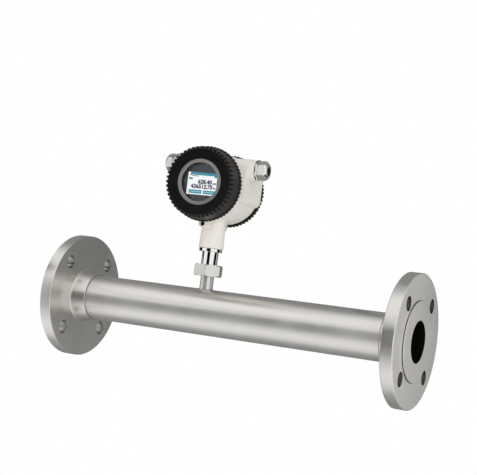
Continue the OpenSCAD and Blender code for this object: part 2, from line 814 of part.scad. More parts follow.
module front_cover() {
    pocket_r = bezel_od / 2 + seat_gap / 2;
    pocket_face = front_cover_len - face_fall;
    nose_r = nose_d / 2;
    nose_start = front_cover_len - nose_len;
    color([0.13, 0.13, 0.13]) to_front() difference() {
        translate([0, 0, front_cover_open]) cover_shell(ledge_back - front_cover_open,
            [[nose_r, nose_start], [nose_r, front_cover_len - nose_bevel],
                [nose_r - nose_bevel, front_cover_len], [pocket_r, pocket_face],
                [0, pocket_face]]);
        translate([0, 0, front_cover_open]) nose_grooves(nose_r, nose_start, nose_teeth);
        cylinder(h = front_nose + overrun, d = ledge_d);
        translate([0, 0, ledge_face]) cylinder(h = front_nose, r = glass_d / 2 + seat_gap / 2);
        translate([0, 0, glass_face]) cylinder(h = front_nose, r = pocket_r);
    }
}

module window_bezel() {
    color([0.5, 0.5, 0.5]) to_front() rotate_extrude() polygon([[bezel_id / 2, glass_face],
        [bezel_od / 2, glass_face], [bezel_od / 2, bezel_face],
        [bezel_id / 2 + bezel_bevel, bezel_face], [bezel_id / 2, bezel_face - bezel_bevel]]);
}

module window_glass() {
    color([0.7, 0.8, 0.85, 0.35]) to_front() translate([0, 0, glass_back])
        cylinder(h = glass_t, d = glass_d);
}

module window_gasket() {
    color([0.08, 0.08, 0.08]) to_front() ring(glass_d / 2, ledge_d / 2, ledge_face, glass_back);
}

// O-ring round a spigot, at a distance from the stem
module oring(at) {
    color([0.05, 0.05, 0.05]) translate([0, 0, at + oring_groove_at + oring_groove_len / 2])
        rotate_extrude() translate([oring_seat + (oring_d + run_gap) / 2, 0])
            circle(oring_d / 2, $fn = small_fn);
}

module front_oring() {
    to_front() oring(barrel_front);
}

module rear_oring() {
    to_rear() oring(barrel_rear);
}

module rear_cover() {
    inside = rear_spigot_end + rear_inside_gap - rear_cover_open;
    shoulder_r = thread_r + rear_wall;
    dish_r = rear_dish_share * shoulder_r;
    color([0.13, 0.13, 0.13]) to_rear() translate([0, 0, rear_cover_open])
        cover_shell(inside, [[shoulder_r, inside],
            [shoulder_r + inside - rear_cover_len, rear_cover_len], [dish_r, rear_cover_len],
            [dish_r - rear_dish_depth, rear_cover_len - rear_dish_depth],
            [0, rear_cover_len - rear_dish_depth]]);
}

// Block centred on the head's axis in X, at a height, between two distances to the front
module front_block(width, height, rise, low, high) {
    translate([-width / 2, rise - height / 2, low]) cube([width, height, high - low]);
}

module display_mask() {
    color([0.2, 0.23, 0.26]) to_front() difference() {
        translate([0, 0, mask_back]) cylinder(h = mask_t, d = mask_d);
        front_block(picture_w, picture_h, picture_rise, mask_back - overrun,
            mask_face + overrun);
    }
}

module display_panel() {
    lit_face = mask_face - picture_sink_share * mask_t;
    color([0.9, 0.95, 0.97]) to_front() union() {
        front_block(picture_w + 2 * panel_rim, picture_h + 2 * panel_rim, picture_rise,
            panel_back, mask_back);
        front_block(picture_w - 2 * seat_gap, picture_h - 2 * seat_gap, picture_rise,
            panel_back, lit_face);
    }
}

// Places a shape at each of the four standoffs
module at_standoffs() {
    for (i = [0 : standoff_count - 1]) rotate([0, 0, i * 360 / standoff_count])
        translate([standoff_r, 0, 0]) children();
}

// Round circuit board with its screw holes
module circuit_board(back) {
    color([0.1, 0.4, 0.2]) to_front() difference() {
        translate([0, 0, back]) cylinder(h = board_t, d = board_d);
        at_standoffs() translate([0, 0, back - overrun])
            cylinder(h = board_t + 2 * overrun, d = board_screw_d / 2, $fn = small_fn);
    }
}

module display_board() {
    circuit_board(display_board_back);
}

module main_board() {
    circuit_board(main_board_back);
}

module power_board() {
    circuit_board(power_board_back);
}

module standoff(low, high) {
    translate([0, 0, low])
        cylinder(h = high - low, r = standoff_af / 2 / cos(180 / hex_fn), $fn = hex_fn);
}

module board_standoffs() {
    color([0.8, 0.66, 0.3]) to_front() at_standoffs() {
        standoff(partition_front, power_board_back);
        standoff(power_board_face, main_board_back);
        standoff(main_board_face, display_board_back);
    }
}

module board_screws() {
    color([0.75, 0.75, 0.75]) to_front() at_standoffs() translate([0, 0, panel_back])
        cylinder(h = board_screw_h, d = board_screw_d, $fn = small_fn);
}

// Part of a board's equipment: a block at a share of the board's radius
module board_block(x_share, y_share, w_share, h_share, t_share, base, room) {
    board_r = board_d / 2;
    translate([x_share * board_r - w_share * board_r / 2,
        y_share * board_r - h_share * board_r / 2, base])
        cube([w_share * board_r, h_share * board_r, t_share * room]);
}

module main_board_parts() {
    room = display_board_back - main_board_face;
    color([0.1, 0.1, 0.1]) to_front() for (part_shares = main_board_shares)
        board_block(part_shares[0], part_shares[1], part_shares[2], part_shares[3],
            part_shares[4], main_board_face, room);
}

module power_board_parts() {
    color([0.15, 0.15, 0.3]) to_front() {
        for (part_shares = power_board_shares)
            board_block(part_shares[0], part_shares[1], part_shares[2], part_shares[3],
                part_shares[4], power_board_face, mid_standoff);
        for (side = [-1, 1])
            translate([side * capacitor_share * board_d / 2, capacitor_share * board_d / 2,
                power_board_face])
                cylinder(h = capacitor_h_share * mid_standoff, r = capacitor_r_share * board_d);
    }
}

module terminal_carrier() {
    color([0.85, 0.85, 0.8]) to_front() difference() {
        translate([0, 0, carrier_face]) cylinder(h = carrier_t, d = carrier_d);
        translate([0, -lead_drop, 0]) cylinder(h = carrier_front + overrun, d = lead_way_d);
    }
}

// Places a shape at each terminal, in the head's front view
module at_terminals() {
    first = -(terminal_count - 1) * terminal_pitch / 2;
    for (i = [0 : terminal_count - 1])
        translate([first + i * terminal_pitch, terminal_rise_share * terminal_h, 0]) children();
}

module terminal_block() {
    color([0.2, 0.5, 0.3]) to_front() difference() {
        front_block(terminal_w, terminal_h, terminal_rise_share * terminal_h, terminal_face,
            carrier_face);
        at_terminals() translate([0, 0, terminal_face - overrun])
            cylinder(h = terminal_well_share * terminal_depth + overrun,
                d = terminal_screw_d + 2 * seat_gap, $fn = small_fn);
        at_terminals() translate([0, 0, terminal_face + terminal_depth / 2])
            rotate([90, 0, 0]) cylinder(h = terminal_h, d = terminal_screw_d, $fn = small_fn);
    }
}

module terminal_screws() {
    well = terminal_well_share * terminal_depth;
    color([0.8, 0.8, 0.78]) to_front() at_terminals()
        translate([0, 0, terminal_face + well / 2]) cylinder(h = well / 2,
            d = terminal_screw_d, $fn = small_fn);
}

module earth_screw() {
    color([0.8, 0.75, 0.5]) to_front()
        translate([earth_share * carrier_d / 2, -earth_share * carrier_d / 2, carrier_face]) {
            translate([0, 0, -earth_washer_share * earth_screw_d])
                cylinder(h = earth_washer_share * earth_screw_d, d = earth_screw_d);
            translate([0, 0, -earth_head_share * earth_screw_d])
                cylinder(h = earth_head_share * earth_screw_d, d = earth_screw_d / cos(180 / hex_fn)
                    * earth_hex_share, $fn = hex_fn);
        }
}

module sensor_lead() {
    boot_base = thread_top_z + seat_gap - boot_depth - head_z;
    color([0.2, 0.2, 0.2]) union() {
        in_head() translate([0, 0, boot_base]) cylinder(h = 2 * boot_depth, r = boot_r);
        in_head() translate([0, 0, boot_base])
            cylinder(h = -lead_drop - lead_bend - boot_base, d = lead_d);
        in_head() translate([0, -lead_bend, -lead_drop - lead_bend]) rotate([90, 0, 90])
            rotate_extrude(angle = 90) translate([lead_bend, 0]) circle(lead_d / 2);
        to_front() translate([0, -lead_drop, lead_bend])
            cylinder(h = power_board_back - lead_bend, d = lead_d);
    }
}

module gland_body(side) {
    thread_d = gland_thread_d;
    color([0.8, 0.8, 0.8]) to_side(side) difference() {
        union() {
            translate([0, 0, arm_reach - gland_nipple_len])
                cylinder(h = gland_nipple_len + gland_hex_len, d = arm_bore_d - 2 * run_gap);
            bevelled_hex(gland_hex_af, arm_reach, gland_hex_end, gland_bevel);
            translate([0, 0, arm_reach]) cylinder(h = gland_end - arm_reach, d = thread_d);
        }
        cylinder(h = cap_end, d = gland_bore_d);
    }
}

module gland_seal(side) {
    plug_r = gland_bore_d / 2 - seat_gap;
    rim_r = gland_thread_d / 2;
    color([0.1, 0.1, 0.1]) to_side(side) rotate_extrude() polygon([
        [cable_d / 2, seal_rim_start - seal_len], [plug_r, seal_rim_start - seal_len],
        [plug_r, seal_rim_start], [rim_r, seal_rim_start], [rim_r, seal_rim_start + seal_rim_t],
        [cable_d / 2, seal_rim_start + seal_rim_t]]);
}

module gland_washer(side) {
    color([0.8, 0.8, 0.8]) to_side(side) ring(gland_thread_d / 2, cap_hole_d / 2, washer_start,
        washer_start + slip_washer_t);
}

module gland_cap(side) {
    dome_drop = sqrt(cap_dome_r * cap_dome_r - cap_face_d * cap_face_d / 4);
    color([0.85, 0.85, 0.85]) to_side(side) difference() {
        intersection() {
            bevelled_hex(cap_af, cap_start, cap_end, gland_bevel);
            translate([0, 0, cap_end - dome_drop]) sphere(cap_dome_r);
        }
        translate([0, 0, cap_start - overrun])
            cylinder(h = cap_floor - cap_start + overrun, r = gland_thread_d / 2 + run_gap);
        cylinder(h = cap_end + overrun, d = cap_hole_d);
    }
}

module right_gland_body() {
    gland_body(1);
}

module right_gland_seal() {
    gland_seal(1);
}

module right_gland_washer() {
    gland_washer(1);
}

module right_gland_cap() {
    gland_cap(1);
}

module left_gland_body() {
    gland_body(-1);
}

module left_gland_seal() {
    gland_seal(-1);
}

module left_gland_washer() {
    gland_washer(-1);
}

module left_gland_cap() {
    gland_cap(-1);
}

measuring_pipe();
inlet_flange();
outlet_flange();
inlet_weld();
outlet_weld();
branch_stub();
stub_weld();
union_gasket();
union_slip_ring();
union_nut();
probe_tube();
sensor_rod();
sensor_guard();
heated_tip();
reference_tip();
probe_connector();
housing();
front_lock_screw();
rear_lock_screw();
front_oring();
front_cover();
window_bezel();
window_glass();
window_gasket();
rear_oring();
rear_cover();
display_mask();
display_panel();
display_board();
main_board();
power_board();
board_standoffs();
board_screws();
main_board_parts();
power_board_parts();
terminal_carrier();
terminal_block();
terminal_screws();
earth_screw();
sensor_lead();
right_gland_body();
right_gland_seal();
right_gland_washer();
right_gland_cap();
left_gland_body();
left_gland_seal();
left_gland_washer();
left_gland_cap();
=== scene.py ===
"""In-line thermal mass flow meter: finishes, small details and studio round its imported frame.

Every length is in metres and every place is in the frame's own axes: X along the flow from the
inlet face, Z up the stem, Y to the rear. The frame's nodes stay where they are and get their
finishes here. What the frame leaves plain, such as threads, digits and weld ripples, is built
here and rides on the frame's bodies.
"""

from __future__ import annotations

import json
import logging
import math
from dataclasses import dataclass
from enum import Enum
from typing import Sequence

import bmesh
import bpy
from mathutils import Matrix, Vector

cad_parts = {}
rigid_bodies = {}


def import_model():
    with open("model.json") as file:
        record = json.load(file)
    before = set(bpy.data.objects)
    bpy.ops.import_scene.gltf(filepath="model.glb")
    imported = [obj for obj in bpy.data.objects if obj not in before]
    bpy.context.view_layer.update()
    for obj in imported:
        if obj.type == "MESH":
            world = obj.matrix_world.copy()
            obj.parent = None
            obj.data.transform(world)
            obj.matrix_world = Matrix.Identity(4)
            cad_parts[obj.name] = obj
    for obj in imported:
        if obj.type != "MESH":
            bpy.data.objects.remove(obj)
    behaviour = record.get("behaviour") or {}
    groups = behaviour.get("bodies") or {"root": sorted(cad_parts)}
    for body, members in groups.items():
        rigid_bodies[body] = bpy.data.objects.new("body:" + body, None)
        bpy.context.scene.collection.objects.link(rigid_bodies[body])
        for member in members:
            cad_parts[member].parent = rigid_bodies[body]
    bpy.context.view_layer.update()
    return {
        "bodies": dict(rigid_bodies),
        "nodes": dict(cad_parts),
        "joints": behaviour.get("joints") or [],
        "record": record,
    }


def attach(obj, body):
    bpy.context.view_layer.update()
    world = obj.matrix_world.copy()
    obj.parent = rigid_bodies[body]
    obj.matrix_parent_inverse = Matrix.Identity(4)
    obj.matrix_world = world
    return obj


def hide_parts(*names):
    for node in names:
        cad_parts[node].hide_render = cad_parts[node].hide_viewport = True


log = logging.getLogger("flow_meter")

MM = 0.001
SINK = 0.1 * MM  # how deep a small piece reaches into the one that it lies on
FILM = 0.02 * MM  # thickness of what is printed or drawn
NOISE_MIDDLE = (0.3, 0.7)  # the range that most of a noise lies in
EDGE_SAMPLES = 6  # rays that round the look of a sharp edge
GROOVE_SAMPLES = 16  # rays that feel for the walls of a groove
TYPE_STEPS = 3  # points on each curve of a letter
QUARTER_TURN = 0.25
BLACK = (0.0, 0.0, 0.0)
WHITE = (1.0, 1.0, 1.0)
Colour = tuple[float, float, float]
Socket = bpy.types.NodeSocket


class Turning(Enum):
    """The axis that a lathe-turned surface was turned about."""

    FLOW = "flow"
    STEM = "stem"
    HEAD = "head"
    ARMS = "arms"


class Align(Enum):
    """Where the origin of a line of type is."""

    MIDDLE = "CENTER"
    RIGHT = "RIGHT"


class Graph:
    """A material's node tree, with short ways to add and join nodes."""

    def __init__(self, name: str) -> None:
        """Starts a material with a Principled shader joined to its output.

        Args:
            name: Name of the new material.
        """
        self.material = bpy.data.materials.new(name)
        self.material.use_nodes = True
        self.tree = self.material.node_tree
        self.tree.nodes.clear()
        self.output = self.add("ShaderNodeOutputMaterial")
        self.shader = self.add("ShaderNodeBsdfPrincipled")
        self.tree.links.new(self.shader.outputs["BSDF"], self.output.inputs["Surface"])

    def add(self, kind: str, **settings: object) -> bpy.types.Node:
        """Adds a node.

        Args:
            kind: Blender's name for the node type.
            **settings: Properties to set on it.

        Returns:
            The new node.
        """
        node = self.tree.nodes.new(kind)
        for key, value in settings.items():
            setattr(node, key, value)
        return node

    def feed(self, target: Socket, source: Socket | float | Sequence[float]) -> None:
        """Joins a socket to an input, or sets the input to a plain value.

        Args:
            target: The input socket.
            source: An output socket, a number or a list of numbers.
        """
        if isinstance(source, Socket):
            self.tree.links.new(source, target)
        else:
            target.default_value = source

    def set(self, **values: float | Sequence[float]) -> None:
        """Sets inputs of the Principled shader, by their names with underscores.

        Args:
            **values: Input names and plain values.
        """
        for key, value in values.items():
            self.shader.inputs[key.replace("_", " ")].default_value = value

    def place(self) -> Socket:
        """Gives the point on the object, which moves with the object."""
        return self.add("ShaderNodeTexCoord").outputs["Object"]

    def maths(self, operation: str, a: Socket | float, b: Socket | float = 0.0) -> Socket:
        """Adds a Math node.

        Args:
            operation: Blender's name for the operation.
            a: First input.
            b: Second input.

        Returns:
            The node's value.
        """
        node = self.add("ShaderNodeMath", operation=operation)
        self.feed(node.inputs[0], a)
        self.feed(node.inputs[1], b)
        return node.outputs[0]

    def vector(self, operation: str, a: Socket, b: Socket | Sequence[float] = (0, 0, 0)) -> Socket:
        """Adds a Vector Math node.

        Args:
            operation: Blender's name for the operation.
            a: First input.
            b: Second input.

        Returns:
            The node's value for length and dot product, else its vector.
        """
        node = self.add("ShaderNodeVectorMath", operation=operation)
        self.feed(node.inputs[0], a)
        self.feed(node.inputs[1], b)
        scalar = operation in ("LENGTH", "DOT_PRODUCT")
        return node.outputs["Value" if scalar else "Vector"]

    def noise(self, at: Socket, scale: float, detail: float = 2.0, blend: float = 0.5) -> Socket:
        """Adds a Noise texture.

        Args:
            at: Where it is read.
            scale: How many cells there are in a metre.
            detail: Number of octaves.
            blend: How much the finer octaves count.

        Returns:
            The noise, from 0 to 1.
        """
        node = self.add("ShaderNodeTexNoise")
        self.feed(node.inputs["Vector"], at)
        node.inputs["Scale"].default_value = scale
        node.inputs["Detail"].default_value = detail
        node.inputs["Roughness"].default_value = blend
        return node.outputs["Fac"]

    def line_noise(self, along: Socket, scale: float, detail: float = 3.0) -> Socket:
        """Adds a Noise texture that changes along one length only.

        Args:
            along: The length that it changes along.
            scale: How many cells there are in a metre.
            detail: Number of octaves.

        Returns:
            The noise, from 0 to 1.
        """
        node = self.add("ShaderNodeTexNoise", noise_dimensions="1D")
        self.feed(node.inputs["W"], along)
        node.inputs["Scale"].default_value = scale
        node.inputs["Detail"].default_value = detail
        return node.outputs["Fac"]

    def fade(
        self,
        value: Socket,
        start: float,
        end: float,
        low: float = 0.0,
        high: float = 1.0,
        course: str = "SMOOTHSTEP",
    ) -> Socket:
        """Goes from one number to another while a value goes from its start to its end.

        Args:
            value: The value.
            start: Where the result is low.
            end: Where the result is high.
            low: Result up to the start.
            high: Result from the end on.
            course: Blender's name for the way between the two.

        Returns:
            The result.
        """
        node = self.add("ShaderNodeMapRange", interpolation_type=course)
        names = ("Value", "From Min", "From Max", "To Min", "To Max")
        for name, source in zip(names, (value, start, end, low, high)):
            self.feed(node.inputs[name], source)
        return node.outputs["Result"]

    def spread(self, value: Socket, low: float, high: float) -> Socket:
        """Maps the middle of a noise to a range.

        Args:
            value: The noise.
            low: Result where the noise is weak.
            high: Result where it is strong.

        Returns:
            The mapped value.
        """
        return self.fade(value, *NOISE_MIDDLE, low, high, "LINEAR")

    def tint(self, amount: Socket, first: Socket | Colour, second: Colour) -> Socket:
        """Mixes two colours.

        Args:
            amount: 0 for the first colour, 1 for the second.
            first: The first colour, or a socket that gives it.
            second: The second colour.

        Returns:
            The mixed colour.
        """
        node = self.add("ShaderNodeMix", data_type="RGBA")
        share, one, two = (node.inputs[index] for index in (0, 6, 7))
        self.feed(share, amount)
        self.feed(one, first if isinstance(first, Socket) else (*first, 1.0))
        self.feed(two, (*second, 1.0))
        return node.outputs[2]

    def bump(self, height: Socket, depth: float, strength: float = 1.0) -> None:
        """Adds a bump on top of the ones that the shader has.

        Args:
            height: The bump's height, from 0 to 1.
            depth: What a height of 1 stands for.
            strength: Share of the bump that shows.
        """
        node = self.add("ShaderNodeBump")
        node.inputs["Strength"].default_value = strength
        node.inputs["Distance"].default_value = depth
        self.feed(node.inputs["Height"], height)
        normal = self.shader.inputs["Normal"]
        if normal.is_linked:
            self.tree.links.new(normal.links[0].from_socket, node.inputs["Normal"])
        self.tree.links.new(node.outputs["Normal"], normal)

    def socket(self, name: str) -> Socket:
        """Gives an input of the Principled shader."""
        return self.shader.inputs[name]

    def shine(self, grey: Socket | float) -> None:
        """Makes a black surface that shines by itself.

        Args:
            grey: The grey that it shines with.
        """
        self.set(Base_Color=(*BLACK, 1.0), Specular_IOR_Level=0.0, Emission_Strength=1.0)
        light = self.add("ShaderNodeCombineColor")
        for name in ("Red", "Green", "Blue"):
            self.feed(light.inputs[name], grey)
        self.feed(self.socket("Emission Color"), light.outputs["Color"])


def background_share(tree: bpy.types.NodeTree) -> Socket:
    """Gives 1 for rays that show the background, 0 for rays that light dull surfaces.

    Args:
        tree: The tree that the nodes go into.

    Returns:
        The share.
    """
    rays = tree.nodes.new("ShaderNodeLightPath")
    total = rays.outputs["Is Camera Ray"]
    for name in ("Is Glossy Ray", "Is Transmission Ray"):
        node = tree.nodes.new("ShaderNodeMath")
        node.operation = "MAXIMUM"
        tree.links.new(total, node.inputs[0])
        tree.links.new(rays.outputs[name], node.inputs[1])
        total = node.outputs[0]
    return total


def put(
    name: str, shape: bmesh.types.BMesh | bpy.types.Mesh, material: bpy.types.Material
) -> bpy.types.Object:
    """Puts a shape into the scene.

    Args:
        name: Name of the new object.
        shape: Its shape. A BMesh is used up.
        material: The only material that it wears.

    Returns:
        The object.
    """
    mesh = shape
    if isinstance(shape, bmesh.types.BMesh):
        mesh = bpy.data.meshes.new(name)
        shape.to_mesh(mesh)
        shape.free()
    mesh.materials.clear()
    mesh.materials.append(material)
    thing = bpy.data.objects.new(name, mesh)
    bpy.context.scene.collection.objects.link(thing)
    return thing


def direction(azimuth: float, height: float = 0.0) -> Vector:
    """Gives the way from the meter to a place round it.

    Args:
        azimuth: Degrees to the right of the front.
        height: Degrees upwards.

    Returns:
        The unit vector.
    """
    turn, lift = math.radians(azimuth), math.radians(height)
    flat = math.cos(lift)
    return Vector((math.sin(turn) * flat, -math.cos(turn) * flat, math.sin(lift)))


@dataclass(frozen=True)
class Frames:
    """The main axes of the meter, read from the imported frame.

    Attributes:
        stem: A point on the stem's axis, at the pipe's height.
        head: The middle of the head, on its own axis.
        front: Unit vector out of the display.
        right: Unit vector to the head's right.
        arm: A point on the axis of the conduit arms.
    """

    stem: Vector
    head: Vector
    front: Vector
    right: Vector
    arm: Vector

    @staticmethod
    def read(frame: dict) -> Frames:
        """Works the axes out from the joints.


        Returns:
            The axes.
        """
        joints = {joint["name"]: joint for joint in frame["record"]["behaviour"]["joints"]}
        swivel = Vector(joints["head_swivel"]["pos_m"])
        cover = joints["front_cover_turn"]
        front = Vector(cover["axis"]).normalized()
        right = Vector(joints["right_gland_turn"]["axis"]).normalized()
        on_axis = Vector(cover["pos_m"])
        stem = Vector((swivel.x, swivel.y, 0.0))
        head = on_axis - front * (on_axis - swivel).dot(front)
        arm = Vector(joints["right_gland_turn"]["pos_m"])
        return Frames(stem, head, front, right, arm - right * (arm - head).dot(right))

    def at(self, across: float, up: float, forward: float) -> Vector:
        """Gives a point in the head's own directions, from the middle of the head.

        Args:
            across: Distance to the right.
            up: Distance upwards.
            forward: Distance out of the display.

        Returns:
            The point in the frame.
        """
        return self.head + self.right * across + Vector((0, 0, up)) + self.front * forward

    def facing(self, across: float, up: float, forward: float) -> Matrix:
        """Gives the placing of a flat drawing that faces out of the display.

        Args:
            across: Distance of its origin to the right.
            up: Distance upwards.
            forward: Distance out of the display.

        Returns:
            A matrix whose X is to the right, Y up and Z out of the display.
        """
        axes = Matrix((self.right, (0, 0, 1), self.front)).transposed().to_4x4()
        return Matrix.Translation(self.at(across, up, forward)) @ axes

    def axis(self, turning: Turning) -> tuple[Vector, Vector]:
        """Gives a point on a lathe axis and its direction."""
        return {
            Turning.FLOW: (Vector((0, 0, 0)), Vector((1, 0, 0))),
            Turning.STEM: (self.stem, Vector((0, 0, 1))),
            Turning.HEAD: (self.head, self.front),
            Turning.ARMS: (self.arm, self.right),
        }[turning]


@dataclass(frozen=True)
class Finish:
    """A plain finish, and the base of the others.

    Attributes:
        name: What the finish is called.
        colour: Its base colour.
        roughness: Its roughness.
        metallic: 1 for bare metal, 0 for the rest.
        specular: Strength of the gloss of what isn't metal.
        edge: Radius to which sharp edges look rounded, or 0 where they stay sharp.
        clouds: Size of the soft patches in the colour, as cells in a metre.
        shades: Factors on the colour where the patches are darkest and palest.
        wear: Share by which the roughness changes to either side.
    """

    name: str
    colour: Colour
    roughness: float = 0.5
    metallic: float = 0.0
    specular: float = 0.5
    edge: float = 0.0
    clouds: float = 25.0
    shades: tuple[float, float] = (1.0, 1.0)
    wear: float = 0.1

    def shade(self, factor: float) -> Colour:
        """Gives the colour made darker or lighter by a factor."""
        return tuple(min(1.0, part * factor) for part in self.colour)

    def material(self) -> bpy.types.Material:
        """Builds the material."""
        graph = Graph(self.name)
        graph.set(
            Base_Color=(*self.colour, 1.0),
            Roughness=self.roughness,
            Metallic=self.metallic,
            Specular_IOR_Level=self.specular,
        )
        if self.edge:
            rounded = graph.add("ShaderNodeBevel", samples=EDGE_SAMPLES)
            rounded.inputs["Radius"].default_value = self.edge
            graph.feed(graph.socket("Normal"), rounded.outputs["Normal"])
        self.dress(graph)
        return graph.material

    def patched(self, graph: Graph, noise: Socket) -> Socket:
        """Gives the colour with soft patches where a noise has them."""
        dark, pale = self.shades
        return graph.tint(graph.spread(noise, 0.0, 1.0), self.shade(dark), self.shade(pale))

    def uneven(self, graph: Graph, noise: Socket) -> Socket:
        """Gives the roughness, changed a little by a noise."""
        least, most = self.roughness * (1.0 - self.wear), self.roughness * (1.0 + self.wear)
        return graph.spread(noise, least, most)

    def dress(self, graph: Graph) -> None:
        """Adds what the finish has beyond a plain colour.

        Args:
            graph: The material's nodes.
        """


@dataclass(frozen=True)
class TurnedSteel(Finish):
    """Stainless steel with the marks of a lathe or of brushing on rollers.

    Attributes:
        point: A point on the lathe's axis.
        axis: Direction of the lathe's axis.
        marks: Number of turning marks in a metre.
        depth: Depth of the marks.
        streak: How far reflections are drawn out across the marks, from 0 to 1.
        bore: Radius inside which the bore gets a dark painted shade, or 0 where there is none.
        bore_colour: Colour of that painted shade.
        bore_roughness: Least roughness of that bore.
        hole: Radius of four drilled holes whose insides get a darker painted shade, or 0 where
            there are none.
        hole_circle: Radius of the circle that those holes lie on.
        hole_shade: Factor on the colour inside those holes, as painted shade.
    """

    metallic: float = 1.0
    shades: tuple[float, float] = (0.95, 1.04)
    point: Vector = Vector((0, 0, 0))
    axis: Vector = Vector((1, 0, 0))
    marks: float = 900.0
    depth: float = 0.02 * MM
    streak: float = 0.7
    bore: float = 0.0
    bore_colour: Colour = (0.012, 0.011, 0.01)
    bore_roughness: float = 0.7
    hole: float = 0.0
    hole_circle: float = 62.5 * MM
    hole_shade: float = 0.55

    def dress(self, graph: Graph) -> None:
        """Adds turning marks, soft patches, a changing gloss, and painted shade in the bore and
        the holes.

        Args:
            graph: The material's nodes.
        """
        at = graph.vector("SUBTRACT", graph.place(), self.point)
        across = graph.vector("CROSS_PRODUCT", at, self.axis)
        radius = graph.vector("LENGTH", across)
        patches = graph.noise(at, self.clouds)
        steel = self.patched(graph, patches)
        gloss = self.uneven(graph, patches)
        # Painted shade: inside the bore radius the steel is made dark and dull.
        if self.bore:
            inside = graph.maths("LESS_THAN", radius, self.bore)
            steel = graph.tint(inside, steel, self.bore_colour)
            gloss = graph.maths("MAXIMUM", gloss,
                                graph.maths("MULTIPLY", inside, self.bore_roughness))
        # Painted shade: the insides of the four bolt holes are made darker.
        if self.hole:
            side = self.hole_circle / math.sqrt(2)
            nearest = graph.vector("SUBTRACT", graph.vector("ABSOLUTE", across), (0.0, side, side))
            drilled = graph.maths("LESS_THAN", graph.vector("LENGTH", nearest), self.hole)
            steel = graph.tint(drilled, steel, self.shade(self.hole_shade))
        graph.feed(graph.socket("Base Color"), steel)
        graph.feed(graph.socket("Roughness"), gloss)
        graph.feed(graph.socket("Tangent"), across)
        graph.set(Anisotropic=self.streak, Anisotropic_Rotation=QUARTER_TURN)
        lathe = graph.maths("ADD", graph.vector("DOT_PRODUCT", at, self.axis), radius)
        graph.bump(graph.line_noise(lathe, self.marks), self.depth)


@dataclass(frozen=True)
class GrainedMetal(Finish):
    """Metal with a fine even grain, such as blasted, plated or polished metal.

    Attributes:
        grain: Cells of the grain in a metre.
        coarse: Cells of the soft patches, as a share of the grain's.
        depth: Depth of the grain.
    """

    metallic: float = 1.0
    shades: tuple[float, float] = (0.94, 1.04)
    wear: float = 0.2
    grain: float = 2500.0
    coarse: float = 0.03
    depth: float = 0.01 * MM

    def dress(self, graph: Graph) -> None:
        """Adds the grain, soft patches and a changing gloss.

        Args:
            graph: The material's nodes.
        """
        at = graph.place()
        patches = graph.noise(at, self.grain * self.coarse)
        graph.feed(graph.socket("Base Color"), self.patched(graph, patches))
        graph.feed(graph.socket("Roughness"), self.uneven(graph, patches))
        graph.bump(graph.noise(at, self.grain), self.depth)


@dataclass(frozen=True)
class PowderCoat(Finish):
    """Sprayed and baked paint with a fine orange peel.

    Attributes:
        peel: Cells of the orange peel in a metre.
        depth: Depth of the orange peel.
        point: A point on the axis of the middle, which gets no painted sheen.
        axis: Direction of that axis.
        middle: Radius outside which the paint gets a lighter painted sheen and less roughness, or
            0 for none.
        reach: Factor on that radius from which on the sheen is full.
        groove: Distance within which nearby walls keep the sheen out of a groove, leaving it dark
            as painted shade.
        openness: How open a groove is where the sheen starts, and where it is full.
        bloom: Factor on the colour where the painted sheen is full.
        polish: Factor on the roughness where the sheen is full.
    """

    clouds: float = 18.0
    shades: tuple[float, float] = (0.965, 1.02)
    wear: float = 0.12
    peel: float = 700.0
    depth: float = 0.03 * MM
    point: Vector = Vector((0, 0, 0))
    axis: Vector = Vector((1, 0, 0))
    middle: float = 0.0
    reach: float = 1.06
    groove: float = 3.0 * MM
    openness: tuple[float, float] = (0.35, 0.85)
    bloom: float = 9.0
    polish: float = 0.6

    def dress(self, graph: Graph) -> None:
        """Adds the orange peel, uneven colour, and outside the middle a lighter painted sheen and
        less roughness, kept out of the grooves so that they stay dark as painted shade.

        Args:
            graph: The material's nodes.
        """
        at = graph.place()
        peel = graph.noise(at, self.peel, blend=0.4)
        colour = self.patched(graph, graph.noise(at, self.clouds))
        gloss = self.uneven(graph, peel)
        if self.middle:
            across = graph.vector("CROSS_PRODUCT", graph.vector("SUBTRACT", at, self.point),
                                  self.axis)
            outside = graph.fade(graph.vector("LENGTH", across), self.middle,
                                 self.middle * self.reach)
            # Painted shade and sheen: grooves stay dark, and the open outer ring gets a lighter
            # painted sheen.
            groove_shade = graph.add("ShaderNodeAmbientOcclusion", samples=GROOVE_SAMPLES)
            groove_shade.inputs["Distance"].default_value = self.groove
            sheen_share = graph.maths("MULTIPLY", outside,
                                  graph.fade(groove_shade.outputs["AO"], *self.openness))
            colour = graph.tint(sheen_share, colour, self.shade(self.bloom))
            gloss = graph.maths("MULTIPLY", gloss, graph.spread(sheen_share, 1.0, self.polish))
        graph.feed(graph.socket("Base Color"), colour)
        graph.feed(graph.socket("Roughness"), gloss)
        graph.bump(peel, self.depth)


@dataclass(frozen=True)
class Moulded(Finish):
    """Moulded plastic or rubber with a fine tooth.

    Attributes:
        tooth: Cells of the surface in a metre.
        depth: Depth of the tooth.
    """

    clouds: float = 120.0
    shades: tuple[float, float] = (0.9, 1.1)
    tooth: float = 4000.0
    depth: float = 0.01 * MM

    def dress(self, graph: Graph) -> None:
        """Adds the fine tooth and slightly uneven colour.

        Args:
            graph: The material's nodes.
        """
        at = graph.place()
        tooth = graph.noise(at, self.tooth)
        patches = graph.noise(at, self.clouds, 3.0)
        graph.feed(graph.socket("Base Color"), self.patched(graph, patches))
        graph.feed(graph.socket("Roughness"), self.uneven(graph, tooth))
        graph.bump(tooth, self.depth)


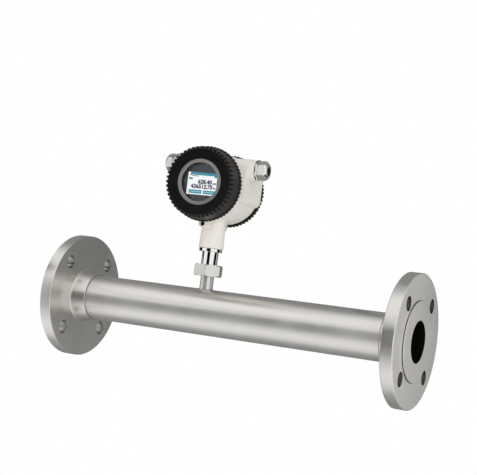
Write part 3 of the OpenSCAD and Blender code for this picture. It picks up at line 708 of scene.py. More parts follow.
@dataclass(frozen=True)
class Lit(Finish):
    """A lit patch of the display picture.

    Attributes:
        glow: Strength of its own light, where 1 renders as the colour is written.
        ground: Its colour when it isn't lit.
    """

    specular: float = 0.05
    clouds: float = 60.0
    shades: tuple[float, float] = (0.95, 1.0)
    glow: float = 0.8
    ground: Colour = (0.02, 0.02, 0.02)

    def dress(self, graph: Graph) -> None:
        """Lets the colour shine by itself, with a faint unevenness of the backlight.

        Args:
            graph: The material's nodes.
        """
        backlight = graph.noise(graph.place(), self.clouds, 1.0)
        graph.feed(graph.socket("Emission Color"), self.patched(graph, backlight))
        graph.set(Base_Color=(*self.ground, 1.0), Emission_Strength=self.glow)


@dataclass(frozen=True)
class ClearGlass(Finish):
    """Clear window glass.

    Attributes:
        bending: Index of refraction.
        waves: Cells of the surface's unevenness in a metre.
        depth: Depth of that unevenness.
        show: Share of it that shows.
    """

    bending: float = 1.3
    waves: float = 80.0
    depth: float = 0.01 * MM
    show: float = 0.2

    def dress(self, graph: Graph) -> None:
        """Lets the light through, with a very faint unevenness of the surface.

        Args:
            graph: The material's nodes.
        """
        graph.set(Transmission_Weight=1.0, IOR=self.bending)
        graph.bump(graph.noise(graph.place(), self.waves, 1.0), self.depth, self.show)


class Finishes:
    """Every finish of the meter, built once each."""

    def __init__(self, frames: Frames) -> None:
        """Lists the finishes.

        Args:
            frames: The meter's axes, for the turning marks.
        """
        flow, stem, head, arms = (
            dict(zip(("point", "axis"), frames.axis(turning))) for turning in Turning
        )
        self.finishes: dict[str, Finish] = {
            # Pipe and flanges get painted shade in the bore; the flanges also inside their bolt
            # holes.
            "brushed_stainless": TurnedSteel("brushed_pipe", (0.83, 0.812, 0.78), 0.38, **flow,
                                             marks=500.0, depth=0.0003 * MM, bore=26 * MM,
                                             streak=0.9),
            "turned_stainless": TurnedSteel("turned_flange", (0.74, 0.722, 0.69), 0.27, **flow,
                                            marks=900.0, depth=0.0015 * MM, bore=26 * MM,
                                            hole=9.1 * MM, streak=0.3, edge=0.8 * MM),
            "stub_stainless": TurnedSteel("turned_stub", (0.78, 0.76, 0.73), 0.34, **stem,
                                          marks=700.0, depth=0.0006 * MM),
            "weld_metal": GrainedMetal("weld_bead", (0.5, 0.47, 0.43), 0.32, grain=1500.0,
                                       depth=0.05 * MM),
            "nut_steel": GrainedMetal("blasted_nut", (0.75, 0.745, 0.72), 0.34, grain=3000.0,
                                      depth=0.03 * MM, edge=1.2 * MM),
            "polished_steel": TurnedSteel("polished_tube", (0.87, 0.87, 0.86), 0.05, **stem,
                                          marks=1500.0, depth=0.001 * MM),
            "sensor_steel": TurnedSteel("ground_sensor", (0.66, 0.65, 0.63), 0.22, **stem,
                                        marks=2500.0, depth=0.006 * MM),
            "ptfe": Moulded("white_seal", (0.8, 0.8, 0.77), 0.45),
            "bronze": GrainedMetal("bronze_ring", (0.62, 0.42, 0.2), 0.35),
            "paint": PowderCoat("white_powder_coat", (0.74, 0.705, 0.655), 0.42, specular=0.4,
                                edge=0.8 * MM),
            # The black cover's outer ring gets a painted sheen, and its grooves a painted shade.
            "cover_paint": PowderCoat("black_powder_coat", (0.0032, 0.003, 0.0028), 0.5,
                                      specular=0.1, peel=900.0, depth=0.02 * MM,
                                      edge=0.3 * MM, middle=41.0 * MM,
                                      openness=(0.5, 0.95), **head),
            "bezel_metal": TurnedSteel("anodised_bezel", (0.31, 0.305, 0.295), 0.4, **head,
                                       marks=1600.0, depth=0.01 * MM),
            "glass": ClearGlass("window_glass", WHITE, 0.0),
            "rubber": Moulded("black_rubber", (0.02, 0.02, 0.02), 0.6),
            "mask": Moulded("dark_film", (0.02, 0.03, 0.042), 0.3, specular=0.1,
                            depth=0.002 * MM),
            "lcd": Lit("display_light", (0.97, 0.99, 1.0), glow=0.93),
            "board": Moulded("green_board", (0.02, 0.14, 0.06), 0.3, depth=0.004 * MM),
            "components": Moulded("black_component", (0.025, 0.025, 0.028), 0.45),
            "brass_fittings": GrainedMetal("brass_fitting", (0.7, 0.52, 0.25), 0.28),
            "screw_steel": GrainedMetal("zinc_screw", (0.65, 0.65, 0.67), 0.3),
            "lock_steel": GrainedMetal("black_screw", (0.05, 0.05, 0.055), 0.4),
            "carrier_plastic": Moulded("grey_carrier", (0.6, 0.6, 0.56), 0.5),
            "terminal_plastic": Moulded("green_terminal", (0.03, 0.22, 0.09), 0.4),
            "weld_bead": GrainedMetal("weld_ripples", (0.5, 0.48, 0.45), 0.3, grain=1500.0,
                                      depth=0.02 * MM),
            "lcd_teal": Lit("display_teal", (0.0, 0.31, 0.44), 0.4),
            "lcd_navy": Lit("display_navy", (0.01, 0.008, 0.05), 0.4),
            "lcd_green": Lit("display_green", (0.04, 0.2, 0.03), 0.4),
            "lcd_pale": Lit("display_pale", (0.6, 0.82, 0.9), 0.4),
            "lcd_grey": Lit("display_grey", (0.2, 0.23, 0.26), 0.4),
            "print_white": Moulded("white_print", (0.75, 0.75, 0.75), 0.5),
            "seam_shadow": Moulded("seam_shadow", (0.004, 0.004, 0.004), 0.6),
            "cable_sleeve": Moulded("cable_jacket", (0.03, 0.03, 0.035), 0.5),
            "gland_metal": TurnedSteel("nickel_gland", (0.8, 0.79, 0.77), 0.08, **arms,
                                       marks=900.0, depth=0.004 * MM),
        }
        self.made: dict[str, bpy.types.Material] = {}

    def get(self, name: str) -> bpy.types.Material:
        """Gives a finish's material and builds it the first time.

        Args:
            name: Key of the finish.

        Returns:
            The material.
        """
        if name not in self.made:
            self.made[name] = self.finishes[name].material()
        return self.made[name]

    def dress_nodes(self, frame: dict) -> None:
        """Gives every node of the frame the finish of its slot.
        """
        own = {"branch_stub": "stub_stainless"}
        for part in frame["record"]["subparts"]:
            node = frame["nodes"][part["node"]]
            material = self.get(own.get(part["node"], part["material_slot"]))
            worn = node.data.materials
            if not worn:
                worn.append(material)
            for index in range(len(worn)):
                worn[index] = material
            log.info("%s wears %s", part["node"], material.name)


@dataclass(frozen=True)
class Viewpoint:
    """The camera of the photograph, as a fit of the flanges gives it.

    Attributes:
        place: Where it stands.
        azimuth: Degrees that it stands to the right of the front.
        rise: Degrees that it looks up.
        roll: Degrees that it leans to its left.
        lens: Focal length, in millimetres.
        sensor: Width of the sensor, in millimetres.
        sight: Distance up to which it sees.
    """

    place: Vector = Vector((0.9246, -1.3148, 0.0454))
    azimuth: float = 27.39
    rise: float = 2.19
    roll: float = 7.07
    lens: float = 86.12
    sensor: float = 36.0
    sight: float = 50.0

    def build(self) -> None:
        """Makes the camera and makes it the scene's own."""
        lean = math.radians(self.roll)
        ahead = -direction(self.azimuth, -self.rise)
        level = ahead.cross(Vector((0, 0, 1))).normalized()
        upright = level.cross(ahead)
        right = level * math.cos(lean) + upright * math.sin(lean)
        up = upright * math.cos(lean) - level * math.sin(lean)
        data = bpy.data.cameras.new("photo_camera")
        data.lens = self.lens
        data.sensor_width = self.sensor
        data.clip_end = self.sight
        camera = bpy.data.objects.new("photo_camera", data)
        camera.matrix_world = (Matrix.Translation(self.place)
                               @ Matrix((right, up, -ahead)).transposed().to_4x4())
        bpy.context.scene.collection.objects.link(camera)
        bpy.context.scene.camera = camera


@dataclass(frozen=True)
class Strip:
    """A narrow card that stands upright and shows in polished metal.

    Attributes:
        azimuth: Degrees to the right of the front, seen from the stem.
        width: Its width, in degrees.
        reach: Its distance from the stem.
        grey: How bright it is.
    """

    azimuth: float
    width: float
    reach: float
    grey: float = 0.0


@dataclass(frozen=True)
class Lamp:
    """A soft square lamp that faces the meter.

    Attributes:
        name: Name of the lamp.
        azimuth: Degrees to the right of the front.
        height: Degrees upwards.
        size: Length of its sides.
        power: Its power, in watts.
        reach: Its distance from the place that it faces.
    """

    name: str
    azimuth: float
    height: float
    size: float
    power: float
    reach: float = 1.9


@dataclass(frozen=True)
class Studio:
    """Floor, world, lamps and cards.

    Attributes:
        stem: A point on the stem's axis.
        floor_z: Height of the floor.
        floor_radius: Radius of the floor.
        floor_sides: Number of its sides.
        floor_colour: Its colour.
        floor_fade: Distances from its middle between which it turns white.
        floor_glow: How far it is white at its middle, from 0 to 1.
        middle: What the lamps face.
        ambient: Strength of the world's light on dull surfaces.
        tent_radius: Radius of the curved card, round the pipe's axis.
        tent_ends: Where the curved card ends along the pipe's axis.
        tent_step: Degrees from corner to corner of it.
        tent_greys: Its greys by the angle round the axis, in degrees up from the front.
        back_fade: Where its back side turns pale, along the axis.
        back_grey: The pale grey there.
        front_band: Where its front side is dark, along the axis.
        band_edge: Length over which that band fades out.
        strips: The upright cards.
        strip_rise: Heights of their lower and upper ends.
        lamps: The lamps.
    """

    stem: Vector
    floor_z: float = -0.56
    floor_radius: float = 7.0
    floor_sides: int = 64
    floor_colour: Colour = (0.9, 0.9, 0.9)
    floor_fade: tuple[float, float] = (0.3, 1.1)
    floor_glow: float = 0.55
    middle: Vector = Vector((0.25, 0.0, 0.06))
    ambient: float = 0.72
    tent_radius: float = 0.5
    tent_ends: tuple[float, float] = (-1.3, 1.6)
    tent_step: int = 5
    tent_greys: tuple[tuple[float, float], ...] = (
        (-180, 0.2), (-165, 0.3), (-130, 0.26), (-98, 0.4), (-75, 0.84), (-55, 0.93),
        (-36, 0.74), (-22, 0.36), (-8, 0.18), (4, 0.18), (14, 0.4), (26, 0.78), (42, 1.0),
        (66, 1.0), (86, 0.58), (104, 0.3), (140, 0.28), (160, 0.22), (180, 0.2),
    )
    back_fade: tuple[float, float] = (0.55, 0.7)
    back_grey: float = 0.67
    front_band: tuple[float, float] = (-0.3, 0.44)
    band_edge: float = 0.05
    strips: tuple[Strip, ...] = (Strip(-84.0, 44.0, 0.3), Strip(-37.0, 50.0, 0.3, 1.0),
                                 Strip(8.0, 38.0, 0.45), Strip(110.0, 36.0, 0.2))
    strip_rise: tuple[float, float] = (0.064, 0.11)
    lamps: tuple[Lamp, ...] = (
        Lamp("key_lamp", -35.0, 20.0, 1.4, 7.0),
        Lamp("fill_lamp", 62.0, 16.0, 1.2, 9.5),
        Lamp("low_lamp", 48.0, -50.0, 0.7, 2.5, 0.7),
        Lamp("top_lamp", 10.0, 85.0, 1.4, 2.5),
    )

    def build(self) -> None:
        """Builds the whole studio."""
        self.build_world()
        self.build_floor()
        self.build_lamps()
        self.build_tent()
        self.build_strips()

    def build_world(self) -> None:
        """Makes the world white where it is seen and softer where it lights the meter."""
        world = bpy.data.worlds.new("studio_world")
        bpy.context.scene.world = world
        world.use_nodes = True
        tree = world.node_tree
        tree.nodes.clear()
        share = background_share(tree)
        strength = tree.nodes.new("ShaderNodeMapRange")
        tree.links.new(share, strength.inputs["Value"])
        strength.inputs["To Min"].default_value = self.ambient
        strength.inputs["To Max"].default_value = 1.0
        light = tree.nodes.new("ShaderNodeBackground")
        tree.links.new(strength.outputs["Result"], light.inputs["Strength"])
        light.inputs["Color"].default_value = (*WHITE, 1.0)
        output = tree.nodes.new("ShaderNodeOutputWorld")
        tree.links.new(light.outputs["Background"], output.inputs["Surface"])

    def build_floor(self) -> None:
        """Makes a pale floor that keeps the shadow near the meter and turns white far off."""
        graph = Graph("pale_floor")
        graph.set(Base_Color=(*self.floor_colour, 1.0), Roughness=0.8, Specular_IOR_Level=0.0)
        away = graph.fade(graph.vector("LENGTH", graph.place()), *self.floor_fade,
                          self.floor_glow)
        amount = graph.maths("MULTIPLY", away, background_share(graph.tree))
        glow = graph.add("ShaderNodeEmission")
        glow.inputs["Strength"].default_value = 1.0
        mix = graph.add("ShaderNodeMixShader")
        graph.feed(mix.inputs[0], amount)
        graph.tree.links.new(graph.shader.outputs["BSDF"], mix.inputs[1])
        graph.tree.links.new(glow.outputs["Emission"], mix.inputs[2])
        graph.tree.links.new(mix.outputs[0], graph.output.inputs["Surface"])
        shape = bmesh.new()
        bmesh.ops.create_circle(shape, cap_ends=True, segments=self.floor_sides,
                                radius=self.floor_radius)
        floor = put("floor", shape, graph.material)
        floor.location = (self.middle.x, self.middle.y, self.floor_z)

    def build_lamps(self) -> None:
        """Hangs the soft lamps."""
        for each in self.lamps:
            data = bpy.data.lights.new(each.name, "AREA")
            data.size = each.size
            data.energy = each.power
            lamp = bpy.data.objects.new(each.name, data)
            out = direction(each.azimuth, each.height)
            spin = out.to_track_quat("Z", "Y").to_matrix().to_4x4()
            lamp.matrix_world = Matrix.Translation(self.middle + out * each.reach) @ spin
            lamp.visible_camera = False
            lamp.visible_glossy = False
            bpy.context.scene.collection.objects.link(lamp)

    def stand_card(self, name: str, shape: bmesh.types.BMesh, graph: Graph) -> None:
        """Makes a card that only reflections see.

        Args:
            name: Name of the card.
            shape: Its shape.
            graph: Its glowing material.
        """
        card = put(name, shape, graph.material)
        for ray in ("camera", "shadow", "diffuse", "transmission"):
            setattr(card, f"visible_{ray}", False)

    def build_tent(self) -> None:
        """Curves a card round the pipe's axis, with soft grey bands along it."""
        ring = [math.radians(a) for a in range(0, 360, self.tent_step)]
        sections = [[Vector((x, -self.tent_radius * math.cos(a), self.tent_radius * math.sin(a)))
                     for a in ring] for x in self.tent_ends]
        graph = Graph("banded_card")
        parts = graph.add("ShaderNodeSeparateXYZ")
        graph.feed(parts.inputs[0], graph.place())
        angle = graph.maths("ARCTAN2", parts.outputs["Z"],
                            graph.maths("MULTIPLY", parts.outputs["Y"], -1.0))
        turn = graph.maths("ADD", graph.maths("MULTIPLY", angle, 0.5 / math.pi), 0.5)
        ramp = graph.add("ShaderNodeValToRGB")
        graph.feed(ramp.inputs["Fac"], turn)
        bands = ramp.color_ramp
        bands.interpolation = "EASE"
        while len(bands.elements) > 1:
            bands.elements.remove(bands.elements[-1])
        for index, (degrees, grey) in enumerate(self.tent_greys):
            spot = degrees / 360.0 + 0.5
            element = bands.elements[0] if index == 0 else bands.elements.new(spot)
            element.position = spot
            element.color = (grey, grey, grey, 1.0)
        along = parts.outputs["X"]
        back = graph.maths("GREATER_THAN", parts.outputs["Y"], 0.0)
        pale = graph.maths("MULTIPLY", graph.maths("MULTIPLY", back, self.back_grey),
                           graph.fade(along, *self.back_fade))
        front = graph.maths("SUBTRACT", 1.0, back)
        first, last = self.front_band
        ends = graph.maths("ADD", graph.fade(along, first, first - self.band_edge),
                           graph.fade(along, last, last + self.band_edge))
        pale = graph.maths("ADD", pale, graph.maths("MULTIPLY", front, ends))
        graph.shine(graph.maths("MAXIMUM", pale, ramp.outputs["Color"]))
        self.stand_card("banded_card", loft(sections), graph)

    def build_strips(self) -> None:
        """Stands the narrow cards round the stem."""
        for index, strip in enumerate(self.strips):
            graph = Graph(f"strip_{index}")
            graph.shine(strip.grey)
            shape = bmesh.new()
            corners = []
            for side, height in ((-1, 0), (1, 0), (1, 1), (-1, 1)):
                spot = self.stem + direction(strip.azimuth + side * strip.width / 2) * strip.reach
                corners.append(shape.verts.new((spot.x, spot.y, self.strip_rise[height])))
            shape.faces.new(corners)
            self.stand_card(f"strip_{index}", shape, graph)


@dataclass(frozen=True)
class Bench:
    """What every sub-assembly needs to put its pieces on the frame.

    Attributes:
        frames: The meter's axes.
        finishes: The finishes.
    """

    frames: Frames
    finishes: Finishes

    def place(
        self,
        name: str,
        shape: bmesh.types.BMesh | bpy.types.Mesh,
        finish: str,
        body: str,
        slot: str,
        smooth: bool = True,
    ) -> bpy.types.Object:
        """Turns a shape into a piece that rides on a body.

        Args:
            name: Name of the piece.
            shape: Its shape, in the frame's place.
            finish: Key of its finish.
            body: Name of the body.
            slot: Material slot of the record; not used.
            smooth: Whether its faces are shaded smooth.

        Returns:
            The piece.
        """
        if isinstance(shape, bmesh.types.BMesh):
            bmesh.ops.recalc_face_normals(shape, faces=shape.faces)
        piece = put(name, shape, self.finishes.get(finish))
        for face in piece.data.polygons:
            face.use_smooth = smooth
        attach(piece, body)
        log.info("%s rides on %s", name, body)
        return piece


def around(axis: Vector, turn: float) -> Vector:
    """Gives a unit vector square to an axis, after a turn round it in radians."""
    first = axis.orthogonal().normalized()
    return first * math.cos(turn) + axis.cross(first) * math.sin(turn)


def stand(
    foot: Vector, axis: Vector, out: Vector, profile: Sequence[tuple[float, float]]
) -> list[Vector]:
    """Stands a flat profile up beside an axis.

    Args:
        foot: The point on the axis that it is measured from.
        axis: Direction of the axis.
        out: Unit vector away from the axis.
        profile: Pairs of a distance along the axis and a radius.

    Returns:
        The points of the profile.
    """
    return [foot + axis * along + out * radius for along, radius in profile]


def quarter(step: int) -> list[tuple[float, float]]:
    """Outlines a quarter of a disc of radius 1, from its corner, with steps in degrees."""
    turns = [math.radians(turn) for turn in range(0, 91, step)]
    return [(0.0, 0.0)] + [(math.cos(turn), math.sin(turn)) for turn in turns]


def loft(
    sections: Sequence[Sequence[Vector]], closed: bool = False, capped: bool = False
) -> bmesh.types.BMesh:
    """Skins a row of closed sections that have the same number of points.

    Args:
        sections: The sections.
        closed: Whether the last section joins the first one.
        capped: Whether the first and last sections are filled.

    Returns:
        The skin.
    """
    shape = bmesh.new()
    rows = [[shape.verts.new(point) for point in section] for section in sections]
    count = len(rows[0])
    pairs = list(zip(rows, rows[1:])) + ([(rows[-1], rows[0])] if closed else [])
    for low, high in pairs:
        for i in range(count):
            j = (i + 1) % count
            shape.faces.new((low[i], low[j], high[j], high[i]))
    if capped:
        shape.faces.new(rows[0])
        shape.faces.new(rows[-1])
    return shape


@dataclass(frozen=True)
class Thread:
    """Raised helical thread on a round male end.

    Attributes:
        name: Name of the piece.
        body: Body that it rides on.
        finish: Key of its finish.
        slot: Material slot of the record.
        foot: Point on the axis where the thread starts.
        axis: Direction of the axis.
        radius: Radius of the plain end.
        length: Length of the thread.
        pitch: Distance from turn to turn.
        height: Height of the ridge.
        steps: Steps in a turn.
        foot_share: Half the width of the ridge's foot, as a share of the pitch.
        crest_share: Half the width of its crest, as a share of the pitch.
        sink: How deep its foot lies under the plain end.
        run_out: How many times the run-out of an end goes into a turn.
    """

    name: str
    body: str
    finish: str
    slot: str
    foot: Vector
    axis: Vector
    radius: float
    length: float
    pitch: float
    height: float
    steps: int = 60
    foot_share: float = 0.42
    crest_share: float = 0.1
    sink: float = 0.05 * MM
    run_out: int = 6

    def build(self, bench: Bench) -> None:
        """Winds the ridge, with both its ends run out to nothing.

        Args:
            bench: The bench that places it.
        """
        total = int(self.steps * (self.length / self.pitch - 2 * self.foot_share))
        wide, narrow = self.foot_share * self.pitch, self.crest_share * self.pitch
        low = self.radius - self.sink
        sections = []
        for i in range(total + 1):
            turns = i / self.steps
            left = (total - i) / self.steps
            high = self.radius + self.height * min(1.0, self.run_out * turns, self.run_out * left)
            foot = self.foot + self.axis * (self.pitch * (self.foot_share + turns))
            sections.append(stand(foot, self.axis, around(self.axis, 2 * math.pi * turns),
                                  ((-wide, low), (-narrow, high), (narrow, high), (wide, low))))
        bench.place(self.name, loft(sections, capped=True), self.finish, self.body, self.slot,
                    smooth=False)


@dataclass(frozen=True)
class Spool:
    """Weld beads of the measuring spool, and painted shadow rings beside the hubs and at the feet
    of the raised faces.

    Attributes:
        length: Length over the raised faces.
        face_radius: Radius of the raised faces.
        face_rise: Height of the raised faces.
        hub_end: Distance from a raised face to the end of its hub.
        pipe_radius: Outside radius of the measuring pipe.
        bead: Reach of a bead between hub and pipe.
        stub_radius: Outside radius of the branch stub.
        stub_reach: Reach of the stub's bead along the pipe.
        stub_rise: Rise of the stub's bead up the stub.
        stub_sink: How deep the stub's bead reaches into the pipe.
        bead_step: Degrees between the corners of a pipe bead's section.
        stub_step: Degrees between the corners of the stub bead's section.
        ripples: Number of ripples round a pipe bead.
        stub_ripples: Number of ripples round the stub's bead.
        seam: Width of the painted shadow ring between a hub's end and its bead, and width and
            height of the one at a raised face's foot.
        seam_rise: Height of the painted shadow ring over the pipe.
        steps: Steps in a ripple.
        swell: Share by which a ripple swells the bead.
    """

    length: float = 500 * MM
    face_radius: float = 49.5 * MM
    face_rise: float = 2 * MM
    hub_end: float = 38 * MM
    pipe_radius: float = 30.15 * MM
    bead: float = 1.0 * MM
    stub_radius: float = 8.8 * MM
    stub_reach: float = 1.2 * MM
    stub_rise: float = 1.0 * MM
    stub_sink: float = 0.15 * MM
    bead_step: int = 18
    stub_step: int = 15
    ripples: int = 96
    stub_ripples: int = 30
    seam: float = 0.5 * MM
    seam_rise: float = 0.25 * MM
    steps: int = 5
    swell: float = 0.12

    def build(self, bench: Bench) -> None:
        """Lays the beads in the place of the frame's plain ones, and the painted shadow rings.

        Args:
            bench: The bench that places them.
        """
        for node, start, sign in (("inlet_weld", self.hub_end, 1.0),
                                  ("outlet_weld", self.length - self.hub_end, -1.0)):
            bead = bench.place(f"{node}_ripples", self.pipe_bead(start + sign * self.seam, sign),
                               "weld_bead", "spool", "weld_metal")
            # The dark ring beside each hub's end is painted shadow.
            ring = self.seam_ring(start, sign, self.pipe_radius, self.seam_rise)
            seam = bench.place(f"{node}_seam", ring, "seam_shadow", "spool", "weld_metal")
            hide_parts(node)
            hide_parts(node)
        for side, start, sign in (("inlet", self.face_rise, -1.0),
                                  ("outlet", self.length - self.face_rise, 1.0)):
            # The dark ring at each raised face's foot is painted shadow.
            ring = self.seam_ring(start, sign, self.face_radius, self.seam)
            bench.place(f"{side}_face_foot", ring, "seam_shadow", "spool", "turned_stainless")
        bead = bench.place("stub_weld_ripples", self.stub_bead(bench.frames.stem), "weld_bead",
                           "spool", "weld_metal")
        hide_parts("stub_weld")

    def ripple(self, step: int) -> float:
        """Gives the size of a bead at a step round it, as overlapping scales."""
        return 1.0 - self.swell * (step % self.steps) / self.steps

    def pipe_bead(self, start: float, sign: float) -> bmesh.types.BMesh:
        """Lays a bead round the pipe.

        Args:
            start: Where the hub ends.
            sign: Direction along the flow in which the bead lies.

        Returns:
            The bead.
        """
        count = self.ripples * self.steps
        foot, axis = Vector((start, 0, 0)), Vector((sign, 0, 0))
        sections = []
        for i in range(count):
            angle = 2 * math.pi * i / count
            size = self.bead * self.ripple(i)
            profile = [(size * along, self.pipe_radius - SINK + size * out)
                       for along, out in quarter(self.bead_step)]
            out_of_axis = Vector((0, math.cos(angle), math.sin(angle)))
            sections.append(stand(foot, axis, out_of_axis, profile))
        return loft(sections, closed=True)

    def seam_ring(
        self, start: float, sign: float, radius: float, rise: float
    ) -> bmesh.types.BMesh:
        """Lays a dark ring round the pipe's axis in the corner of a step, as painted shadow.

        Args:
            start: Where the seam starts along the flow.
            sign: Direction along the flow in which it lies.
            radius: Radius of the surface that it lies on.
            rise: How far it rises over that surface.

        Returns:
            The painted shadow ring.
        """
        foot, axis = Vector((start, 0, 0)), Vector((sign, 0, 0))
        low, high = radius - SINK, radius + rise
        corners = ((0.0, low), (self.seam, low), (self.seam, high), (0.0, high))
        turns = [math.pi * i / self.ripples for i in range(self.ripples * 2)]
        sections = [stand(foot, axis, Vector((0, math.cos(turn), math.sin(turn))), corners)
                    for turn in turns]
        return loft(sections, closed=True)

    def stub_bead(self, stem: Vector) -> bmesh.types.BMesh:
        """Lays a bead round the foot of the stub, on the pipe's curved top.

        Args:
            stem: A point on the stem's axis.

        Returns:
            The bead.
        """
        count = self.stub_ripples * self.steps
        sections = []
        for i in range(count):
            angle = 2 * math.pi * i / count
            size = self.ripple(i)
            section = []
            for reach, rise in quarter(self.stub_step):
                out = self.stub_radius - SINK + self.stub_reach * reach * size
                side = out * math.sin(angle)
                top = math.sqrt(self.pipe_radius ** 2 - side ** 2) - self.stub_sink
                section.append(stem + Vector((out * math.cos(angle), side,
                                              top + self.stub_rise * rise * size)))
            sections.append(section)
        return loft(sections, closed=True)


@dataclass(frozen=True)
class Patch:
    """A flat rectangle of the display picture.

    Attributes:
        name: Name of the piece.
        finish: Key of its finish.
        left: Left edge, as a share of the picture's width.
        top: Upper edge, as a share of the picture's height.
        right: Right edge.
        bottom: Lower edge.
    """

    name: str
    finish: str
    left: float
    top: float
    right: float
    bottom: float


@dataclass(frozen=True)
class Reading:
    """A line of text in the display picture, set from its right end.

    Attributes:
        name: Name of the piece.
        text: What it says.
        right: Right end, as a share of the picture's width.
        base: Foot of the digits, as a share of the picture's height.
        size: Height of the type.
    """

    name: str
    text: str
    right: float
    base: float
    size: float


@dataclass(frozen=True)
class Display:
    """The picture on the lit panel.

    Attributes:
        width: Width of the picture.
        height: Height of the picture.
        rise: Height of its middle over the head's axis.
        face: Distance from the stem to the lit face.
        swell: Share of the type's size by which its strokes are fattened.
        patches: Bars and buttons.
        readings: Figures and units.
    """

    width: float = 40.0 * MM
    height: float = 28.1 * MM
    rise: float = -1.5 * MM
    face: float = 57.025 * MM
    swell: float = 0.055
    patches: tuple[Patch, ...] = (
        Patch("top_bar", "lcd_teal", 0.08, 0.0, 1.0, 0.12),
        Patch("top_bar_end", "lcd_teal", 0.9, 0.11, 1.0, 0.19),
        Patch("top_icon", "lcd_grey", 0.05, 0.09, 0.1, 0.15),
        Patch("caption_line", "lcd_navy", 0.12, 0.145, 0.36, 0.175),
        Patch("status_tag", "lcd_green", 0.04, 0.245, 0.16, 0.325),
        Patch("left_button", "lcd_teal", 0.07, 0.79, 0.515, 0.955),
        Patch("right_button", "lcd_teal", 0.56, 0.79, 1.0, 0.955),
        Patch("left_button_mark", "lcd_pale", 0.105, 0.84, 0.135, 0.9),
        Patch("left_button_line", "lcd_pale", 0.17, 0.858, 0.46, 0.886),
        Patch("right_button_mark", "lcd_pale", 0.595, 0.84, 0.625, 0.9),
        Patch("right_button_line", "lcd_pale", 0.66, 0.858, 0.93, 0.886),
    )
    readings: tuple[Reading, ...] = (
        Reading("flow_figures", "628.40", 0.83, 0.49, 7.0 * MM),
        Reading("flow_unit", "kg/h", 0.985, 0.49, 2.9 * MM),
        Reading("total_figures", "436512.75", 0.87, 0.71, 7.0 * MM),
        Reading("total_unit", "kg", 0.965, 0.69, 3.2 * MM),
    )

    def build(self, bench: Bench) -> None:
        """Draws the picture.

        Args:
            bench: The bench that places its parts.
        """
        place = bench.frames.facing(0.0, self.rise, self.face)
        for patch in self.patches:
            lift = 2 * FILM if patch.finish == "lcd_pale" else FILM
            corners = [(patch.left, patch.top), (patch.right, patch.top),
                       (patch.right, patch.bottom), (patch.left, patch.bottom)]
            flat = [((u - 0.5) * self.width, (0.5 - v) * self.height) for u, v in corners]
            sections = [[place @ Vector((x, y, z)) for x, y in flat] for z in (0.0, lift)]
            bench.place(f"display_{patch.name}", loft(sections, capped=True), patch.finish,
                        "head", "lcd", smooth=False)
        for line in self.readings:
            spot = bench.frames.facing((line.right - 0.5) * self.width,
                                       self.rise + (0.5 - line.base) * self.height, self.face)
            mesh = lettering(line.name, line.text, line.size, Align.RIGHT, self.swell)
            mesh.transform(spot)
            bench.place(f"display_{line.name}", mesh, "lcd_navy", "head", "lcd", smooth=False)


def lettering(name: str, text: str, size: float, align: Align, swell: float) -> bpy.types.Mesh:
    """Sets plain type as a thin mesh that faces up the Z axis.

    Args:
        name: Name of the mesh.
        text: What it says.
        size: Height of the type.
        align: Where its origin is.
        swell: Share of the size by which the strokes are fattened.

    Returns:
        The mesh.
    """
    curve = bpy.data.curves.new(name, "FONT")
    curve.body = text
    curve.size = size
    curve.extrude = FILM
    curve.offset = swell * size
    curve.align_x = align.value
    curve.resolution_u = TYPE_STEPS
    holder = bpy.data.objects.new(f"{name}_type", curve)
    mesh = bpy.data.meshes.new_from_object(holder)
    bpy.data.objects.remove(holder)
    bpy.data.curves.remove(curve)
    return mesh


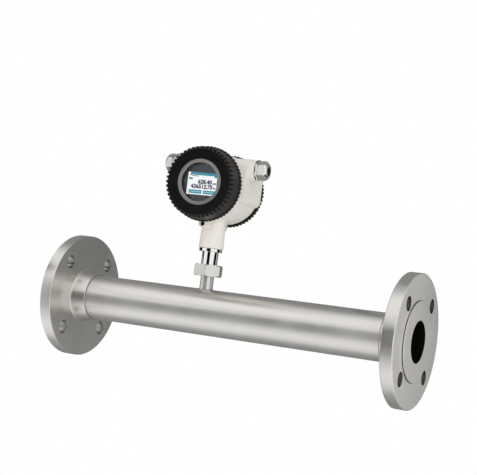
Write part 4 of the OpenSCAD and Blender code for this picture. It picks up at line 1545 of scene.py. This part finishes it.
@dataclass(frozen=True)
class Head:
    """Threads, seals, seam and terminal numbers of the transmitter head.

    Attributes:
        spigot_radius: Radius of the threaded spigots.
        front_thread: Start and length of the front spigot's thread, out of the display.
        rear_thread: Start and length of the rear spigot's thread, to the rear.
        cover_pitch: Distance from turn to turn of the cover threads.
        cover_height: Height of the cover threads.
        arm_reach: Distance from the stem to the end of a conduit arm.
        seat_radius: Radius of the middle of the seal round a gland's foot.
        seat_section: Radius of that seal's section.
        seat_steps: Steps round that seal.
        seat_corners: Corners of its section.
        gland_thread_radius: Radius of a gland body's thread.
        gland_thread: Start and length of a gland body's thread.
        gland_pitch: Distance from turn to turn of a gland body's thread.
        gland_height: Height of a gland body's thread.
        seam: Radii between which the seam lies on the front cover's face.
        seam_depths: Distances from the stem to the face at those radii.
        seam_width: Width of the seam at its foot, and twice its width at the top.
        seam_rise: Height of the seam over the face.
        terminal_face: Distance from the stem to the terminals' face, out of the display.
        terminal_pitch: Distance from terminal to terminal.
        terminal_count: Number of terminals.
        number_rise: Height of the terminal numbers over the head's axis.
        number_size: Height of the type of the terminal numbers.
        number_swell: Share of that size by which their strokes are fattened.
    """

    spigot_radius: float = 40.5 * MM
    front_thread: tuple[float, float] = (47 * MM, 8.2 * MM)
    rear_thread: tuple[float, float] = (41.4 * MM, 4.6 * MM)
    cover_pitch: float = 2 * MM
    cover_height: float = 0.4 * MM
    arm_reach: float = 55.3 * MM
    seat_radius: float = 12.5 * MM
    seat_section: float = 0.55 * MM
    seat_steps: int = 64
    seat_corners: int = 10
    gland_thread_radius: float = 9.5 * MM
    gland_thread: tuple[float, float] = (58.9 * MM, 7.2 * MM)
    gland_pitch: float = 1.5 * MM
    gland_height: float = 0.35 * MM
    seam: tuple[float, float] = (29.6 * MM, 41.6 * MM)
    seam_depths: tuple[float, float] = (69.0 * MM, 70.86 * MM)
    seam_width: float = 0.45 * MM
    seam_rise: float = 0.06 * MM
    terminal_face: float = 7 * MM
    terminal_pitch: float = 6 * MM
    terminal_count: int = 8
    number_rise: float = 9.6 * MM
    number_size: float = 3.4 * MM
    number_swell: float = 0.01

    def build(self, bench: Bench) -> None:
        """Builds the head's details.

        Args:
            bench: The bench that places them.
        """
        axes = bench.frames
        for side, axis, (start, length) in (("front", axes.front, self.front_thread),
                                            ("rear", -axes.front, self.rear_thread)):
            Thread(f"{side}_spigot_thread", "head", "paint", "paint", axes.head + axis * start,
                   axis, self.spigot_radius, length, self.cover_pitch,
                   self.cover_height).build(bench)
        for side, axis in (("right", axes.right), ("left", -axes.right)):
            start, length = self.gland_thread
            Thread(f"{side}_gland_thread", "head", "gland_metal", "gland_metal",
                   axes.arm + axis * start, axis, self.gland_thread_radius, length,
                   self.gland_pitch, self.gland_height).build(bench)
            bench.place(f"{side}_gland_seat", self.seat(axes.arm, axis), "rubber", "head",
                        "rubber")
        bench.place("cover_seam", self.seam_strip(axes), "seam_shadow", "front_cover",
                    "cover_paint", smooth=False)
        self.number_terminals(bench)

    def seat(self, arm: Vector, axis: Vector) -> bmesh.types.BMesh:
        """Rounds the seal between a gland's foot and the end of its arm.

        Args:
            arm: The point on the arms' axis over the stem.
            axis: Direction of the arm.

        Returns:
            The seal.
        """
        middle = arm + axis * (self.arm_reach + self.seat_section / 2)
        turns = [2 * math.pi * i / self.seat_corners for i in range(self.seat_corners)]
        profile = [(self.seat_section * math.sin(turn),
                    self.seat_radius + self.seat_section * math.cos(turn)) for turn in turns]
        sections = [
            stand(middle, axis, around(axis, 2 * math.pi * i / self.seat_steps), profile)
            for i in range(self.seat_steps)
        ]
        return loft(sections, closed=True)

    def seam_strip(self, axes: Frames) -> bmesh.types.BMesh:
        """Lays the thin casting seam on the left of the front cover's face.

        Args:
            axes: The meter's axes.

        Returns:
            The seam.
        """
        half = self.seam_width / 2
        profile = ((-half, -SINK), (half, -SINK), (half / 2, self.seam_rise),
                   (-half / 2, self.seam_rise))
        sections = [[axes.at(-radius, rise, depth + lift) for rise, lift in profile]
                    for radius, depth in zip(self.seam, self.seam_depths)]
        return loft(sections, capped=True)

    def number_terminals(self, bench: Bench) -> None:
        """Prints a number over each terminal, read from the rear.

        Args:
            bench: The bench that places the numbers.
        """
        axes = bench.frames
        to_rear = Matrix.Rotation(math.pi, 4, "Y")
        middle = (self.terminal_count + 1) / 2
        for number in range(1, self.terminal_count + 1):
            across = (middle - number) * self.terminal_pitch
            mesh = lettering(f"number_{number}", str(number), self.number_size, Align.MIDDLE,
                             self.number_swell)
            mesh.transform(axes.facing(across, self.number_rise, self.terminal_face) @ to_rear)
            bench.place(f"terminal_number_{number}", mesh, "print_white", "head",
                        "terminal_plastic", smooth=False)


@dataclass(frozen=True)
class Probe:
    """Thread on the lower end of the probe tube, inside the union nut.

    Attributes:
        foot: Height of the tube's lower end.
        length: Length of the thread.
        radius: Radius of the tube.
        pitch: Distance from turn to turn.
        height: Height of the thread.
    """

    foot: float = 53.3 * MM
    length: float = 8.6 * MM
    radius: float = 10.8 * MM
    pitch: float = 1.814 * MM
    height: float = 0.4 * MM

    def build(self, bench: Bench) -> None:
        """Winds the thread.

        Args:
            bench: The bench that places it.
        """
        foot = bench.frames.stem + Vector((0, 0, self.foot))
        Thread("probe_thread", "probe", "sensor_steel", "polished_steel", foot,
               Vector((0, 0, 1)), self.radius, self.length, self.pitch, self.height).build(bench)


def main() -> None:
    """Loads the frame, dresses it, and adds the details and the studio."""
    logging.basicConfig(level=logging.INFO, format="%(message)s")
    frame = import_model()
    bpy.context.scene.view_settings.view_transform = "Standard"
    frames = Frames.read(frame)
    finishes = Finishes(frames)
    finishes.dress_nodes(frame)
    bench = Bench(frames, finishes)
    for assembly in (Spool(), Probe(), Head(), Display()):
        assembly.build(bench)
    Viewpoint().build()
    Studio(frames.stem).build()


if __name__ == "__main__":
    main()
